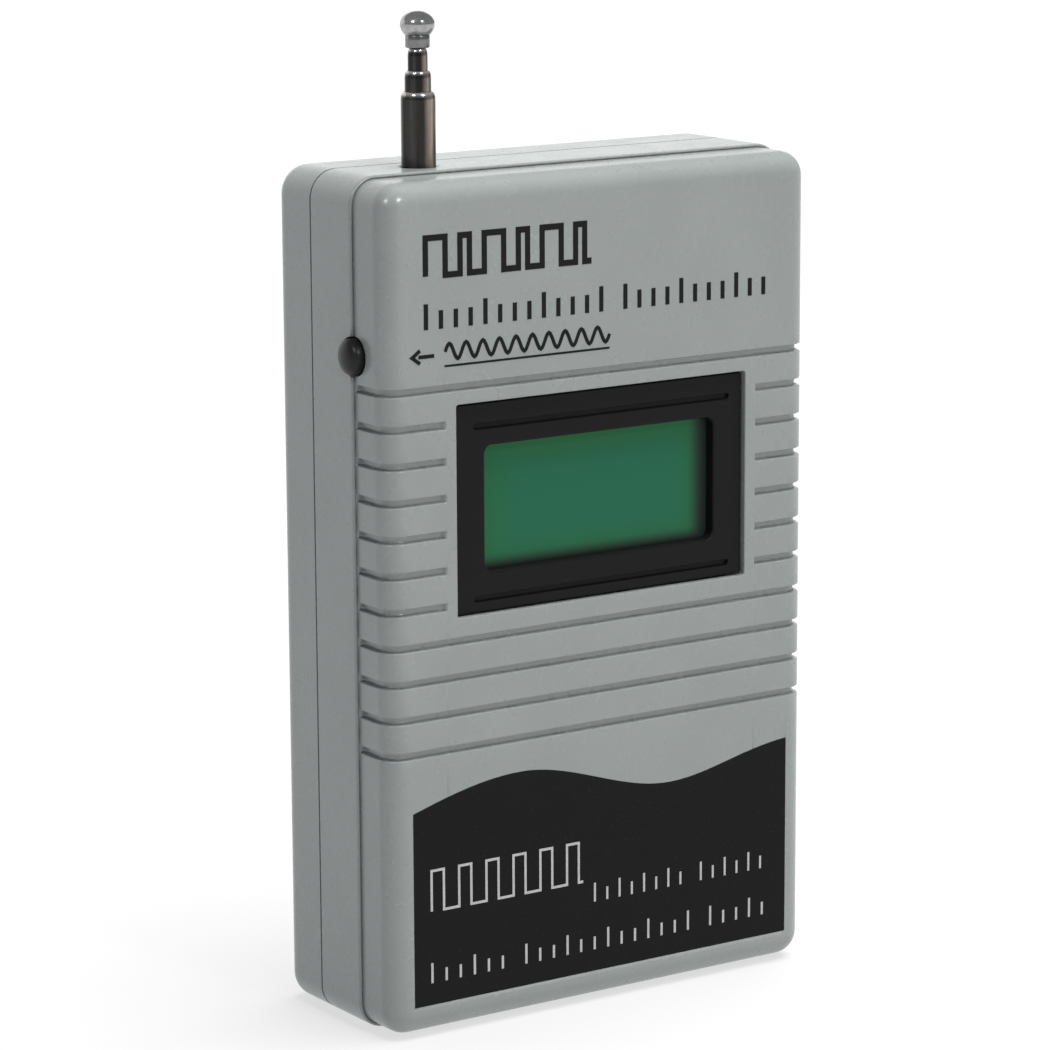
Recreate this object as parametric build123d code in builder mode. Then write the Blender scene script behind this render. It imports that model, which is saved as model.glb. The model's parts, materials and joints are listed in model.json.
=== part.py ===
"""Pocket frequency counter: a two-part plastic case with a telescopic antenna, a side button,
a liquid crystal display, its circuit board and two AAA cells.

Millimetres. X to the right, Y from front to back, Z up. The origin is on the surface that the
case stands on, at the middle of its width and depth.
"""

from build123d import *
import os
from math import radians, tan

os.makedirs("parts", exist_ok=True)

# ---------------------------------------------------------------- case
WIDTH = 57.5
HEIGHT = 95.0
FRONT_Y = -11.0
BACK_Y = 11.0
STEP_Y = -4.8  # the raised front starts here
PARTING_Y = 3.3  # the two shells meet here
INSET = 0.4  # how far the raised front is set in from the band
BAND_R = 3.2
RAISED_R = 2.9
FRONT_R = 2.5
BACK_R = 2.2
LIP_R = 0.25
CREASE_W = 0.15
CREASE_D = 0.35
SEAM_W = 0.2  # shadow gap where the shells meet
SEAM_D = 0.5
WALL = 2.0
INNER_R = 1.4
MID_Z = HEIGHT / 2
INNER_FRONT_Y = FRONT_Y + WALL
INNER_BACK_Y = BACK_Y - WALL
CAVITY_W = WIDTH - 2 * (WALL + 0.35)
CAVITY_H = HEIGHT - 2 * WALL

# ---------------------------------------------------------------- front face
GROOVES = 11
GROOVE_TOP_Z = 72.7  # upper edge of the topmost groove
GROOVE_PITCH = 4.0
GROOVE_H = 0.85
GROOVE_D = 0.5
SHORT_GROOVES = range(1, 7)  # the ones that stop beside the display
SHORT_X = 20.8
OPENING_W = 38.8
OPENING_H = 23.5
OPENING_Z = 58.6
LABEL_X = 25.5
LABEL_BOTTOM_Z = 3.7
LABEL_RECESS = 0.35
LABEL_T = 0.33
# The label's wavy top edge: left end, crest, trough and right end.
LABEL_WAVE = [(-LABEL_X, 25.75), (-11.3, 28.45), (8.9, 24.15), (LABEL_X, 26.9)]

# ---------------------------------------------------------------- display
FRAME_GAP = 0.2  # between the display frame and its opening
FRAME_FACE_Y = -10.4
FRAME_WALL_Y = -9.0  # back of the frame's face
WINDOW_W = 30.8
WINDOW_H = 13.9
WINDOW_Z = 58.45
FRAME_GROOVE_Z = [48.5, 67.6]
GLASS_W = 35.6
GLASS_H = 20.4
POLARIZER_T = 0.2
GLASS_T = 1.8
GLASS_BACK_Y = FRAME_WALL_Y + POLARIZER_T + GLASS_T

# ---------------------------------------------------------------- board
BOARD_FRONT_Y = -4.0
BOARD_BACK_Y = -2.8
BOARD_T = BOARD_BACK_Y - BOARD_FRONT_Y
BOARD_X = 24.9
BOARD_LOW_Z = 4.6
BOARD_TOP_Z = 90.4
CASE_SCREW_X = 22.4
CASE_SCREW_Z = [7.3, 87.7]
CASE_SCREWS = [(x, z) for x in (-CASE_SCREW_X, CASE_SCREW_X) for z in CASE_SCREW_Z]
BOARD_SCREWS = [(-22.3, 41.0), (22.3, 41.0), (-12.0, 83.5), (12.0, 83.5)]
FRONT_BOSS_R = 2.6
BACK_BOSS_R = 3.0
STANDOFF_R = 2.0
SCREW_R = 1.1
BOARD_SCREW_R = 0.8
PILOT_GAP = 0.05
HEAD_SEAT_Y = 6.0
COUNTERBORE_R = 2.5

# ---------------------------------------------------------------- button
BUTTON_Y = STEP_Y
BUTTON_Z = 75.7
BUTTON_R = 2.0
BUTTON_HOLE_R = 2.2
BUTTON_END_X = -WIDTH / 2 - 1.1
BUTTON_EDGE_R = 1.05
FLANGE_R = 2.75
FLANGE_T = 0.6
FLANGE_X = -26.3  # the flange's outer face, just inside the wall
PLUNGER_R = 1.2
PLUNGER_GAP = 0.05
SWITCH_X = [-25.2, -20.8]
SWITCH_D = 3.2
SWITCH_H = 6.2

# ---------------------------------------------------------------- antenna
ANTENNA_X = -17.25
ANTENNA_Y = -0.5
ANTENNA_HOLE_R = 2.1
# Radii outside and inside, and the two ends, of each stage pushed home.
BASE = {"outer": 1.9, "inner": 1.65, "low": 34.5, "top": 103.15}
SECOND = {"outer": 1.45, "inner": 1.25, "low": 37.0, "top": 105.4}
THIRD = {"outer": 1.09, "inner": 0.9, "low": 38.0, "top": 107.8}
ROD = {"outer": 0.75, "low": 39.0, "top": 109.0}
CRIMP_H = 1.2
CRIMP_ROLL_H = 0.9
CRIMP_GAP = 0.045
COLLAR_H = 4.0
COLLAR_GAP = 0.03
NECK_R = 1.35
NECK_Z = 107.85
BALL_R = 1.9
BALL_LOW_Z = 109.25
BALL_TOP_Z = 111.85
FOOT_LOW_Z = 33.0
FOOT_TOP_Z = 38.5

# ---------------------------------------------------------------- cells and their box
CELL_R = 5.25
CELL_L = 44.5
CELL_X = 5.5
CELL_Y = 3.7
BOX_IN_X = 11.2
BOX_WALL = 1.2
BOX_IN_Z = [5.2, 55.6]
BOX_FRONT_Y = -2.6
BOX_FLOOR_T = 0.9
CONTACT_T = 0.3
SPRING_WIRE_R = 0.3
SPRING_TURNS = 4
DOOR_X = 11.7
DOOR_T = 1.6
DOOR_OUT_Y = 10.9
DOOR_TOP_Z = 57.8
DOOR_GAP = 0.2
HINGE_Y = DOOR_OUT_Y - DOOR_T / 2
HINGE_Z = 4.8
HINGE_PIN_R = 0.55
HINGE_PIN_L = 1.2
LEAD_R = 0.55


def across(y):
    """Sketch plane at depth y, seen from the front: local X to the right, local Y up."""
    return Plane(origin=(0, y, 0), x_dir=(1, 0, 0), z_dir=(0, -1, 0))


def save(builder, name):
    """Label a finished piece and write it."""
    builder.part.label = name
    export_step(builder.part, f"parts/{name}.step")


# ================================================================ case
with BuildSketch(across(FRONT_Y + LABEL_RECESS)) as label_outline:
    with BuildLine():
        Spline(*LABEL_WAVE, tangents=[(1, 0.3), (1, 0), (1, 0), (1, 0.08)])
        Polyline(
            LABEL_WAVE[-1],
            (LABEL_X, LABEL_BOTTOM_Z),
            (-LABEL_X, LABEL_BOTTOM_Z),
            LABEL_WAVE[0],
        )
    make_face()

with BuildPart() as front_shell:
    # The band, from the parting plane forward to the step.
    with BuildSketch(across(PARTING_Y)):
        with Locations((0, MID_Z)):
            RectangleRounded(WIDTH, HEIGHT, BAND_R)
    extrude(amount=PARTING_Y - STEP_Y)
    # The raised front, with its rounded face edge.
    with BuildSketch(across(STEP_Y)):
        with Locations((0, MID_Z)):
            RectangleRounded(WIDTH - 2 * INSET, HEIGHT - 2 * INSET, RAISED_R)
    extrude(amount=STEP_Y - FRONT_Y)
    fillet(front_shell.faces().sort_by(Axis.Y)[0].edges(), FRONT_R)
    step_face = front_shell.faces().filter_by(Axis.Y).filter_by_position(Axis.Y, STEP_Y - 0.1, STEP_Y + 0.1)
    fillet(step_face[0].outer_wire().edges(), LIP_R)
    # A narrow crease at the foot of the raised front.
    with BuildSketch(across(STEP_Y)):
        with Locations((0, MID_Z)):
            RectangleRounded(
                WIDTH - 2 * (INSET - CREASE_W), HEIGHT - 2 * (INSET - CREASE_W), RAISED_R + CREASE_W
            )
            RectangleRounded(
                WIDTH - 2 * INSET, HEIGHT - 2 * INSET, RAISED_R, mode=Mode.SUBTRACT
            )
    extrude(amount=-CREASE_D, mode=Mode.SUBTRACT)
    # Grooves run round the raised front's face and sides; some stop beside the display.
    for index in range(GROOVES):
        groove_z = GROOVE_TOP_Z - index * GROOVE_PITCH - GROOVE_H
        with BuildSketch(Plane.XY.offset(groove_z)):
            with Locations((0, (FRONT_Y + STEP_Y) / 2 - 1)):
                Rectangle(WIDTH + 4, STEP_Y - FRONT_Y + 2)
            with Locations((0, FRONT_Y + GROOVE_D + WIDTH / 2)):
                RectangleRounded(
                    WIDTH - 2 * (INSET + GROOVE_D),
                    WIDTH,
                    FRONT_R - GROOVE_D,
                    mode=Mode.SUBTRACT,
                )
            if index in SHORT_GROOVES:
                with Locations((0, FRONT_Y)):
                    Rectangle(2 * SHORT_X, 4, mode=Mode.SUBTRACT)
        extrude(amount=GROOVE_H, mode=Mode.SUBTRACT)
    # The inside.
    with BuildSketch(across(PARTING_Y)):
        with Locations((0, MID_Z)):
            RectangleRounded(CAVITY_W, CAVITY_H, INNER_R)
    extrude(amount=PARTING_Y - INNER_FRONT_Y, mode=Mode.SUBTRACT)
    # Opening for the display, and the shallow seat of the label.
    with BuildSketch(across(INNER_FRONT_Y + 1)):
        with Locations((0, OPENING_Z)):
            RectangleRounded(OPENING_W, OPENING_H, 0.3)
    extrude(amount=WALL + 2, mode=Mode.SUBTRACT)
    extrude(label_outline.sketch, amount=LABEL_RECESS + 1, mode=Mode.SUBTRACT)
    # Bosses for the case screws and standoffs for the board.
    with BuildSketch(across(PARTING_Y - 0.1)):
        with Locations(CASE_SCREWS):
            Circle(FRONT_BOSS_R)
    extrude(amount=PARTING_Y - 0.1 - INNER_FRONT_Y + 0.2)
    with BuildSketch(across(PARTING_Y)):
        with Locations(CASE_SCREWS):
            Circle(SCREW_R + PILOT_GAP)
    extrude(amount=PARTING_Y + 7.5, mode=Mode.SUBTRACT)
    with BuildSketch(across(BOARD_FRONT_Y)):
        with Locations(BOARD_SCREWS):
            Circle(STANDOFF_R)
    extrude(amount=BOARD_FRONT_Y - INNER_FRONT_Y + 0.2)
    with BuildSketch(across(BOARD_FRONT_Y)):
        with Locations(BOARD_SCREWS):
            Circle(BOARD_SCREW_R + PILOT_GAP)
    extrude(amount=4.2, mode=Mode.SUBTRACT)
    # Holes for the button, in the left wall, and for the antenna, in the top wall.
    with BuildSketch(Plane.YZ.offset(-WIDTH / 2 - 1)):
        with Locations((BUTTON_Y, BUTTON_Z)):
            Circle(BUTTON_HOLE_R)
    extrude(amount=5, mode=Mode.SUBTRACT)
    with BuildSketch(Plane.XY.offset(HEIGHT - WALL - 1)):
        with Locations((ANTENNA_X, ANTENNA_Y)):
            Circle(ANTENNA_HOLE_R)
    extrude(amount=WALL + 2, mode=Mode.SUBTRACT)
save(front_shell, "front_shell")

with BuildPart() as front_label:
    extrude(label_outline.sketch, amount=LABEL_T)
save(front_label, "front_label")

with BuildPart() as back_shell:
    with BuildSketch(across(BACK_Y)):
        with Locations((0, MID_Z)):
            RectangleRounded(WIDTH, HEIGHT, BAND_R)
    extrude(amount=BACK_Y - PARTING_Y)
    fillet(back_shell.faces().sort_by(Axis.Y)[-1].edges(), BACK_R)
    # A shadow gap runs round the outside where this shell meets the front one.
    with BuildSketch(across(PARTING_Y + SEAM_W)):
        with Locations((0, MID_Z)):
            Rectangle(WIDTH + 2, HEIGHT + 2)
            RectangleRounded(
                WIDTH - 2 * SEAM_D, HEIGHT - 2 * SEAM_D, BAND_R - SEAM_D, mode=Mode.SUBTRACT
            )
    extrude(amount=SEAM_W + 1, mode=Mode.SUBTRACT)
    with BuildSketch(across(INNER_BACK_Y)):
        with Locations((0, MID_Z)):
            RectangleRounded(CAVITY_W, CAVITY_H, INNER_R)
    extrude(amount=INNER_BACK_Y - PARTING_Y + 1, mode=Mode.SUBTRACT)
    # The locating lip that stands inside the front shell, and its root on the wall.
    for lip_y, lip_grow, lip_h in ((PARTING_Y + 1.3, 0.3, 1.3), (PARTING_Y, -0.1, 1.2)):
        with BuildSketch(across(lip_y)):
            with Locations((0, MID_Z)):
                RectangleRounded(CAVITY_W + 2 * lip_grow, CAVITY_H + 2 * lip_grow, INNER_R)
                RectangleRounded(CAVITY_W - 2.2, CAVITY_H - 2.2, 0.6, mode=Mode.SUBTRACT)
        extrude(amount=lip_h)
    # Screw towers with deep counterbores.
    with BuildSketch(across(INNER_BACK_Y + 0.2)):
        with Locations(CASE_SCREWS):
            Circle(BACK_BOSS_R)
    extrude(amount=INNER_BACK_Y + 0.2 - PARTING_Y)
    # The battery box stands forward from the back wall.
    with BuildSketch(across(INNER_BACK_Y + 0.2)):
        with Locations((0, (BOX_IN_Z[0] + BOX_IN_Z[1]) / 2)):
            Rectangle(2 * (BOX_IN_X + BOX_WALL), BOX_IN_Z[1] - BOX_IN_Z[0] + 2 * BOX_WALL)
    extrude(amount=INNER_BACK_Y + 0.2 - BOX_FRONT_Y)
    with BuildSketch(across(BACK_Y + 1)):
        with Locations((0, (BOX_IN_Z[0] + BOX_IN_Z[1]) / 2)):
            Rectangle(2 * BOX_IN_X, BOX_IN_Z[1] - BOX_IN_Z[0])
    extrude(amount=BACK_Y + 1 - BOX_FRONT_Y - BOX_FLOOR_T, mode=Mode.SUBTRACT)
    # The door's seat in the outer face, with a rounded bottom that the hinge turns in.
    with BuildSketch(across(BACK_Y + 1)):
        with Locations((0, (HINGE_Z - DOOR_T / 2 + DOOR_TOP_Z) / 2)):
            Rectangle(2 * (DOOR_X + DOOR_GAP), DOOR_TOP_Z - HINGE_Z + DOOR_T / 2 + 2 * DOOR_GAP)
    extrude(amount=BACK_Y + 1 - DOOR_OUT_Y + DOOR_T + 0.1, mode=Mode.SUBTRACT)
    with BuildSketch(Plane.YZ.offset(-DOOR_X - HINGE_PIN_L - 0.2)):
        with Locations((HINGE_Y, HINGE_Z)):
            Circle(HINGE_PIN_R + 0.06)
    extrude(amount=2 * (DOOR_X + HINGE_PIN_L + 0.2), mode=Mode.SUBTRACT)
    # Slots in the box's upper end for the two terminal tabs.
    with BuildSketch(Plane.XY.offset(BOX_IN_Z[1] - 0.5)):
        with Locations((-CELL_X, CELL_Y), (CELL_X, CELL_Y)):
            Rectangle(2.4, 0.7)
    extrude(amount=BOX_WALL + 1, mode=Mode.SUBTRACT)
    with Locations(*[Plane(origin=(x, BACK_Y, z), z_dir=(0, 1, 0)) for x, z in CASE_SCREWS]):
        CounterBoreHole(SCREW_R + 0.2, COUNTERBORE_R, BACK_Y - HEAD_SEAT_Y, depth=12)
save(back_shell, "back_shell")

with BuildPart() as battery_door:
    with BuildSketch(across(DOOR_OUT_Y)):
        with Locations((0, (HINGE_Z + DOOR_TOP_Z) / 2)):
            Rectangle(2 * DOOR_X, DOOR_TOP_Z - HINGE_Z)
    extrude(amount=DOOR_T)
    with BuildSketch(Plane.YZ.offset(-DOOR_X)):
        with Locations((HINGE_Y, HINGE_Z)):
            Circle(DOOR_T / 2)
    extrude(amount=2 * DOOR_X)
    with BuildSketch(Plane.YZ.offset(-DOOR_X - HINGE_PIN_L)):
        with Locations((HINGE_Y, HINGE_Z)):
            Circle(HINGE_PIN_R)
    extrude(amount=2 * (DOOR_X + HINGE_PIN_L))
    # Two slots free a springy tongue at the top, and a hollow with ribs gives the thumb a grip.
    with BuildSketch(across(DOOR_OUT_Y + 1)):
        with Locations((-3.8, DOOR_TOP_Z - 3), (3.8, DOOR_TOP_Z - 3)):
            Rectangle(0.5, 6.1)
    extrude(amount=DOOR_T + 2, mode=Mode.SUBTRACT)
    with BuildSketch(across(DOOR_OUT_Y)):
        with Locations((0, DOOR_TOP_Z - 11)):
            SlotOverall(12, 6.4, rotation=0)
            with GridLocations(1, 1.6, 1, 3):
                SlotOverall(7.5, 0.6, mode=Mode.SUBTRACT)
    extrude(amount=0.5, mode=Mode.SUBTRACT)
save(battery_door, "battery_door")

with BuildPart() as case_screws:
    for screw_x, screw_z in CASE_SCREWS:
        with Locations(Plane(origin=(screw_x, HEAD_SEAT_Y, screw_z), z_dir=(0, 1, 0))):
            Cylinder(2.1, 1.6, align=(Align.CENTER, Align.CENTER, Align.MIN))
            Cylinder(SCREW_R, 13.0, align=(Align.CENTER, Align.CENTER, Align.MAX))
    fillet(case_screws.faces().filter_by(Axis.Y).group_by(Axis.Y)[-1].edges(), 0.5)
    with BuildSketch(across(HEAD_SEAT_Y + 1.6)):
        with Locations(CASE_SCREWS):
            Rectangle(2.4, 0.55)
            Rectangle(0.55, 2.4)
    extrude(amount=0.9, mode=Mode.SUBTRACT)
save(case_screws, "case_screws")

# ================================================================ display
with BuildPart() as display_frame:
    with BuildSketch(across(BOARD_FRONT_Y)):
        with Locations((0, OPENING_Z)):
            RectangleRounded(OPENING_W - 2 * FRAME_GAP, OPENING_H - 2 * FRAME_GAP, 0.3)
    extrude(amount=BOARD_FRONT_Y - FRAME_FACE_Y)
    chamfer(display_frame.faces().sort_by(Axis.Y)[0].edges(), 0.15)
    # A flange behind the case wall keeps the frame from coming out at the front.
    with BuildSketch(across(BOARD_FRONT_Y)):
        with Locations((0, OPENING_Z)):
            Rectangle(OPENING_W + 2.0, OPENING_H + 2.0)
    extrude(amount=BOARD_FRONT_Y - INNER_FRONT_Y - 0.2)
    with BuildSketch(across(BOARD_FRONT_Y)):
        with Locations((0, OPENING_Z)):
            Rectangle(GLASS_W + 0.2, GLASS_H + 0.2)
    extrude(amount=BOARD_FRONT_Y - FRAME_WALL_Y, mode=Mode.SUBTRACT)
    with BuildSketch(across(FRAME_WALL_Y + 1)):
        with Locations((0, WINDOW_Z)):
            RectangleRounded(WINDOW_W, WINDOW_H, 1.0)
    extrude(amount=4, mode=Mode.SUBTRACT)
    with BuildSketch(across(FRAME_FACE_Y)):
        with Locations(*[(0.3, z) for z in FRAME_GROOVE_Z]):
            SlotOverall(34.4, 0.5)
    extrude(amount=-0.25, mode=Mode.SUBTRACT)
save(display_frame, "display_frame")

with BuildPart() as lcd_polarizer:
    with BuildSketch(across(FRAME_WALL_Y + POLARIZER_T)):
        with Locations((0, OPENING_Z)):
            Rectangle(GLASS_W - 0.6, GLASS_H - 1.2)
    extrude(amount=POLARIZER_T)
save(lcd_polarizer, "lcd_polarizer")

with BuildPart() as lcd_glass:
    with BuildSketch(across(GLASS_BACK_Y)):
        with Locations((0, OPENING_Z)):
            Rectangle(GLASS_W, GLASS_H)
    extrude(amount=GLASS_T)
    # The rear plate is lower, which leaves the contact ledge of the front plate bare.
    with BuildSketch(across(GLASS_BACK_Y)):
        with Locations((0, OPENING_Z - GLASS_H / 2 + 1.0), (0, OPENING_Z + GLASS_H / 2 - 1.0)):
            Rectangle(GLASS_W, 2.0)
    extrude(amount=GLASS_T / 2, mode=Mode.SUBTRACT)
save(lcd_glass, "lcd_glass")

with BuildPart() as zebra_strips:
    with BuildSketch(across(BOARD_FRONT_Y)):
        with Locations((0, OPENING_Z - GLASS_H / 2 + 1.0), (0, OPENING_Z + GLASS_H / 2 - 1.0)):
            Rectangle(GLASS_W - 1.6, 1.5)
    extrude(amount=BOARD_FRONT_Y - GLASS_BACK_Y + GLASS_T / 2)
save(zebra_strips, "zebra_strips")

with BuildPart() as backlight_diffuser:
    with BuildSketch(across(BOARD_FRONT_Y - 1.2)):
        with Locations((0, OPENING_Z)):
            Rectangle(WINDOW_W + 2, WINDOW_H + 1.6)
    extrude(amount=1.7)
save(backlight_diffuser, "backlight_diffuser")

with BuildPart() as backlight_leds:
    with BuildSketch(across(BOARD_FRONT_Y)):
        with Locations((0, OPENING_Z)):
            with GridLocations(9.0, 1, 3, 1):
                Rectangle(3.2, 1.6)
    extrude(amount=0.9)
save(backlight_leds, "backlight_leds")

# ================================================================ board and what is on it
with BuildPart() as main_board:
    with BuildSketch(across(BOARD_BACK_Y)):
        with Locations((0, (BOARD_LOW_Z + BOARD_TOP_Z) / 2)):
            Rectangle(2 * BOARD_X, BOARD_TOP_Z - BOARD_LOW_Z)
        # Corners cleared for the case bosses, and a notch for the switch.
        with Locations(CASE_SCREWS):
            Rectangle(6.2, 6.4, mode=Mode.SUBTRACT)
        with Locations(*[(1.05 * x, MID_Z + 1.04 * (z - MID_Z)) for x, z in CASE_SCREWS]):
            Rectangle(6.2, 6.4, mode=Mode.SUBTRACT)
        with Locations((-BOARD_X, BUTTON_Z)):
            Rectangle(2 * (BOARD_X + SWITCH_X[1] + 0.1), SWITCH_H + 0.3, mode=Mode.SUBTRACT)
        with Locations(BOARD_SCREWS):
            Circle(BOARD_SCREW_R + 0.2, mode=Mode.SUBTRACT)
    extrude(amount=BOARD_T)
save(main_board, "main_board")

with BuildPart() as board_screws:
    for screw_x, screw_z in BOARD_SCREWS:
        with Locations(Plane(origin=(screw_x, BOARD_BACK_Y, screw_z), z_dir=(0, 1, 0))):
            Cylinder(1.6, 1.1, align=(Align.CENTER, Align.CENTER, Align.MIN))
            Cylinder(BOARD_SCREW_R, 5.2, align=(Align.CENTER, Align.CENTER, Align.MAX))
    with BuildSketch(across(BOARD_BACK_Y + 1.1)):
        with Locations(BOARD_SCREWS):
            Rectangle(2.0, 0.45)
            Rectangle(0.45, 2.0)
    extrude(amount=0.6, mode=Mode.SUBTRACT)
save(board_screws, "board_screws")


def leaded_chip(x, z, body_x, body_z, thick, leads_x, leads_z, pitch, side):
    """A moulded chip on the board: side is -1 on the front and +1 on the back."""
    seat = BOARD_FRONT_Y if side < 0 else BOARD_BACK_Y
    with BuildPart() as chip:
        with Locations((x, seat + side * (thick / 2 + 0.1), z)):
            Box(body_x, thick, body_z)
        chamfer(chip.edges().filter_by(Axis.Y), 0.3)
        with Locations((x, seat + side * 0.2, z)):
            for row in range(leads_x):
                with Locations((0, 0, (row - (leads_x - 1) / 2) * pitch)):
                    Box(body_x + 2.0, 0.4, 0.35)
            for column in range(leads_z):
                with Locations(((column - (leads_z - 1) / 2) * pitch, 0, 0)):
                    Box(0.35, 0.4, body_z + 2.0)
    return chip


microcontroller = leaded_chip(2.0, 33.0, 10.0, 10.0, 1.5, 11, 11, 0.8, -1)
save(microcontroller, "microcontroller")
display_driver_chip = leaded_chip(2.0, 18.0, 14.0, 7.5, 2.0, 0, 10, 1.27, -1)
save(display_driver_chip, "display_driver_chip")
prescaler_chip = leaded_chip(-18.6, 17.0, 3.9, 4.9, 1.4, 4, 0, 1.27, 1)
save(prescaler_chip, "prescaler_chip")
rf_amplifier_chip = leaded_chip(-18.6, 27.0, 1.8, 1.8, 1.0, 1, 1, 1.0, 1)
save(rf_amplifier_chip, "rf_amplifier_chip")
voltage_regulator = leaded_chip(15.0, 12.5, 4.5, 2.5, 1.5, 0, 3, 1.5, -1)
save(voltage_regulator, "voltage_regulator")

with BuildPart() as crystal_can:
    with BuildSketch(across(BOARD_FRONT_Y)):
        with Locations((-13.0, 34.0)):
            SlotOverall(11.0, 4.6)
    extrude(amount=3.4)
    fillet(crystal_can.faces().sort_by(Axis.Y)[0].edges(), 0.5)
save(crystal_can, "crystal_can")

with BuildPart() as trimmer_capacitor:
    with BuildSketch(across(BOARD_FRONT_Y)):
        with Locations((-13.0, 24.0)):
            RectangleRounded(4.5, 4.0, 0.5)
    extrude(amount=1.6)
    with BuildSketch(across(BOARD_FRONT_Y - 1.6)):
        with Locations((-13.0, 24.0)):
            Circle(1.7)
    extrude(amount=0.9)
    with BuildSketch(across(BOARD_FRONT_Y - 2.5)):
        with Locations((-13.0, 24.0)):
            Rectangle(2.6, 0.5)
    extrude(amount=-0.5, mode=Mode.SUBTRACT)
save(trimmer_capacitor, "trimmer_capacitor")

with BuildPart() as electrolytic_capacitors:
    with BuildSketch(across(BOARD_BACK_Y)):
        with Locations((18.5, 20.0), (18.5, 30.0)):
            Rectangle(6.6, 6.6)
    extrude(amount=-0.9)
    with BuildSketch(across(BOARD_BACK_Y + 0.9)):
        with Locations((18.5, 20.0), (18.5, 30.0)):
            Circle(3.15)
    extrude(amount=-4.5)
    fillet(electrolytic_capacitors.faces().filter_by(Axis.Y).group_by(Axis.Y)[-1].edges(), 0.4)
save(electrolytic_capacitors, "electrolytic_capacitors")

with BuildPart() as chip_capacitors:
    with BuildSketch(across(BOARD_FRONT_Y)):
        with Locations((14.5, 33.5)):
            with GridLocations(4.0, 3.2, 2, 4):
                Rectangle(2.0, 1.25)
        with Locations((-13.0, 15.0)):
            with GridLocations(4.0, 3.2, 2, 2):
                Rectangle(2.0, 1.25)
    extrude(amount=1.0)
save(chip_capacitors, "chip_capacitors")

with BuildPart() as chip_resistors:
    with BuildSketch(across(BOARD_FRONT_Y)):
        with Locations((0, 79.0)):
            with GridLocations(3.6, 3.0, 5, 2):
                Rectangle(2.0, 1.25)
        with Locations((15.5, 21.5)):
            with GridLocations(3.4, 2.6, 2, 3):
                Rectangle(2.0, 1.25)
    extrude(amount=0.5)
save(chip_resistors, "chip_resistors")

with BuildPart() as rf_shield_can:
    with BuildSketch(across(BOARD_BACK_Y)):
        with Locations((-18.7, 21.5)):
            Rectangle(10.4, 20.6)
    extrude(amount=-3.6)
    fillet(rf_shield_can.edges().filter_by(Axis.Y), 0.6)
    offset(amount=-0.3, openings=rf_shield_can.faces().sort_by(Axis.Y)[0])
save(rf_shield_can, "rf_shield_can")

# ================================================================ button
with BuildPart() as switch_body:
    with BuildSketch(Plane.YZ.offset(SWITCH_X[0])):
        with Locations((BUTTON_Y, BUTTON_Z)):
            Rectangle(SWITCH_D, SWITCH_H)
    extrude(amount=SWITCH_X[1] - SWITCH_X[0])
    # Ears that are soldered to the board's front face.
    with BuildSketch(across(BOARD_FRONT_Y)):
        with Locations(((SWITCH_X[0] + SWITCH_X[1]) / 2 + 0.6, BUTTON_Z)):
            Rectangle(2.4, SWITCH_H + 3.2)
    extrude(amount=0.6)
    with BuildSketch(Plane.YZ.offset(SWITCH_X[0])):
        with Locations((BUTTON_Y, BUTTON_Z)):
            Circle(PLUNGER_R + PLUNGER_GAP)
    extrude(amount=1.9, mode=Mode.SUBTRACT)
save(switch_body, "switch_body")

with BuildPart() as switch_plunger:
    with BuildSketch(Plane.YZ.offset(FLANGE_X + FLANGE_T)):
        with Locations((BUTTON_Y, BUTTON_Z)):
            Circle(PLUNGER_R)
    extrude(amount=1.8)
save(switch_plunger, "switch_plunger")

with BuildPart() as button_cap:
    with BuildSketch(Plane.YZ.offset(BUTTON_END_X)):
        with Locations((BUTTON_Y, BUTTON_Z)):
            Circle(BUTTON_R)
    extrude(amount=FLANGE_X - BUTTON_END_X)
    fillet(button_cap.faces().sort_by(Axis.X)[0].edges(), BUTTON_EDGE_R)
    with BuildSketch(Plane.YZ.offset(FLANGE_X)):
        with Locations((BUTTON_Y, BUTTON_Z)):
            Circle(FLANGE_R)
    extrude(amount=FLANGE_T)
save(button_cap, "button_cap")

# ================================================================ antenna
ANTENNA_PLANE = Plane(origin=(ANTENNA_X, ANTENNA_Y, 0), x_dir=(1, 0, 0), z_dir=(0, -1, 0))


def antenna_tube(stage, passes_r):
    """A tube whose mouth is rolled in to passes_r around the next stage."""
    roll = stage["outer"] - passes_r - 0.06
    with BuildPart() as tube:
        with BuildSketch(ANTENNA_PLANE):
            with BuildLine():
                Polyline(
                    (stage["inner"], stage["low"]),
                    (stage["outer"], stage["low"]),
                    (stage["outer"], stage["top"] - CRIMP_ROLL_H),
                    (stage["outer"] - 0.13 * roll, stage["top"] - 0.5 * CRIMP_ROLL_H),
                    (stage["outer"] - 0.5 * roll, stage["top"] - 0.13 * CRIMP_ROLL_H),
                    (stage["outer"] - roll, stage["top"]),
                    (passes_r, stage["top"]),
                    (passes_r, stage["top"] - CRIMP_H),
                    (stage["inner"], stage["top"] - CRIMP_H - 0.25),
                    close=True,
                )
            make_face()
        revolve(axis=Axis((ANTENNA_X, ANTENNA_Y, 0), (0, 0, 1)))
    return tube


def antenna_collar(stage, bore_r, low):
    """The split friction ring at the foot of a stage, drawn closed."""
    with BuildPart() as collar:
        with BuildSketch(Plane.XY.offset(low)):
            with Locations((ANTENNA_X, ANTENNA_Y)):
                Circle(bore_r - COLLAR_GAP)
                Circle(stage["outer"], mode=Mode.SUBTRACT)
        extrude(amount=COLLAR_H)
    return collar


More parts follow.
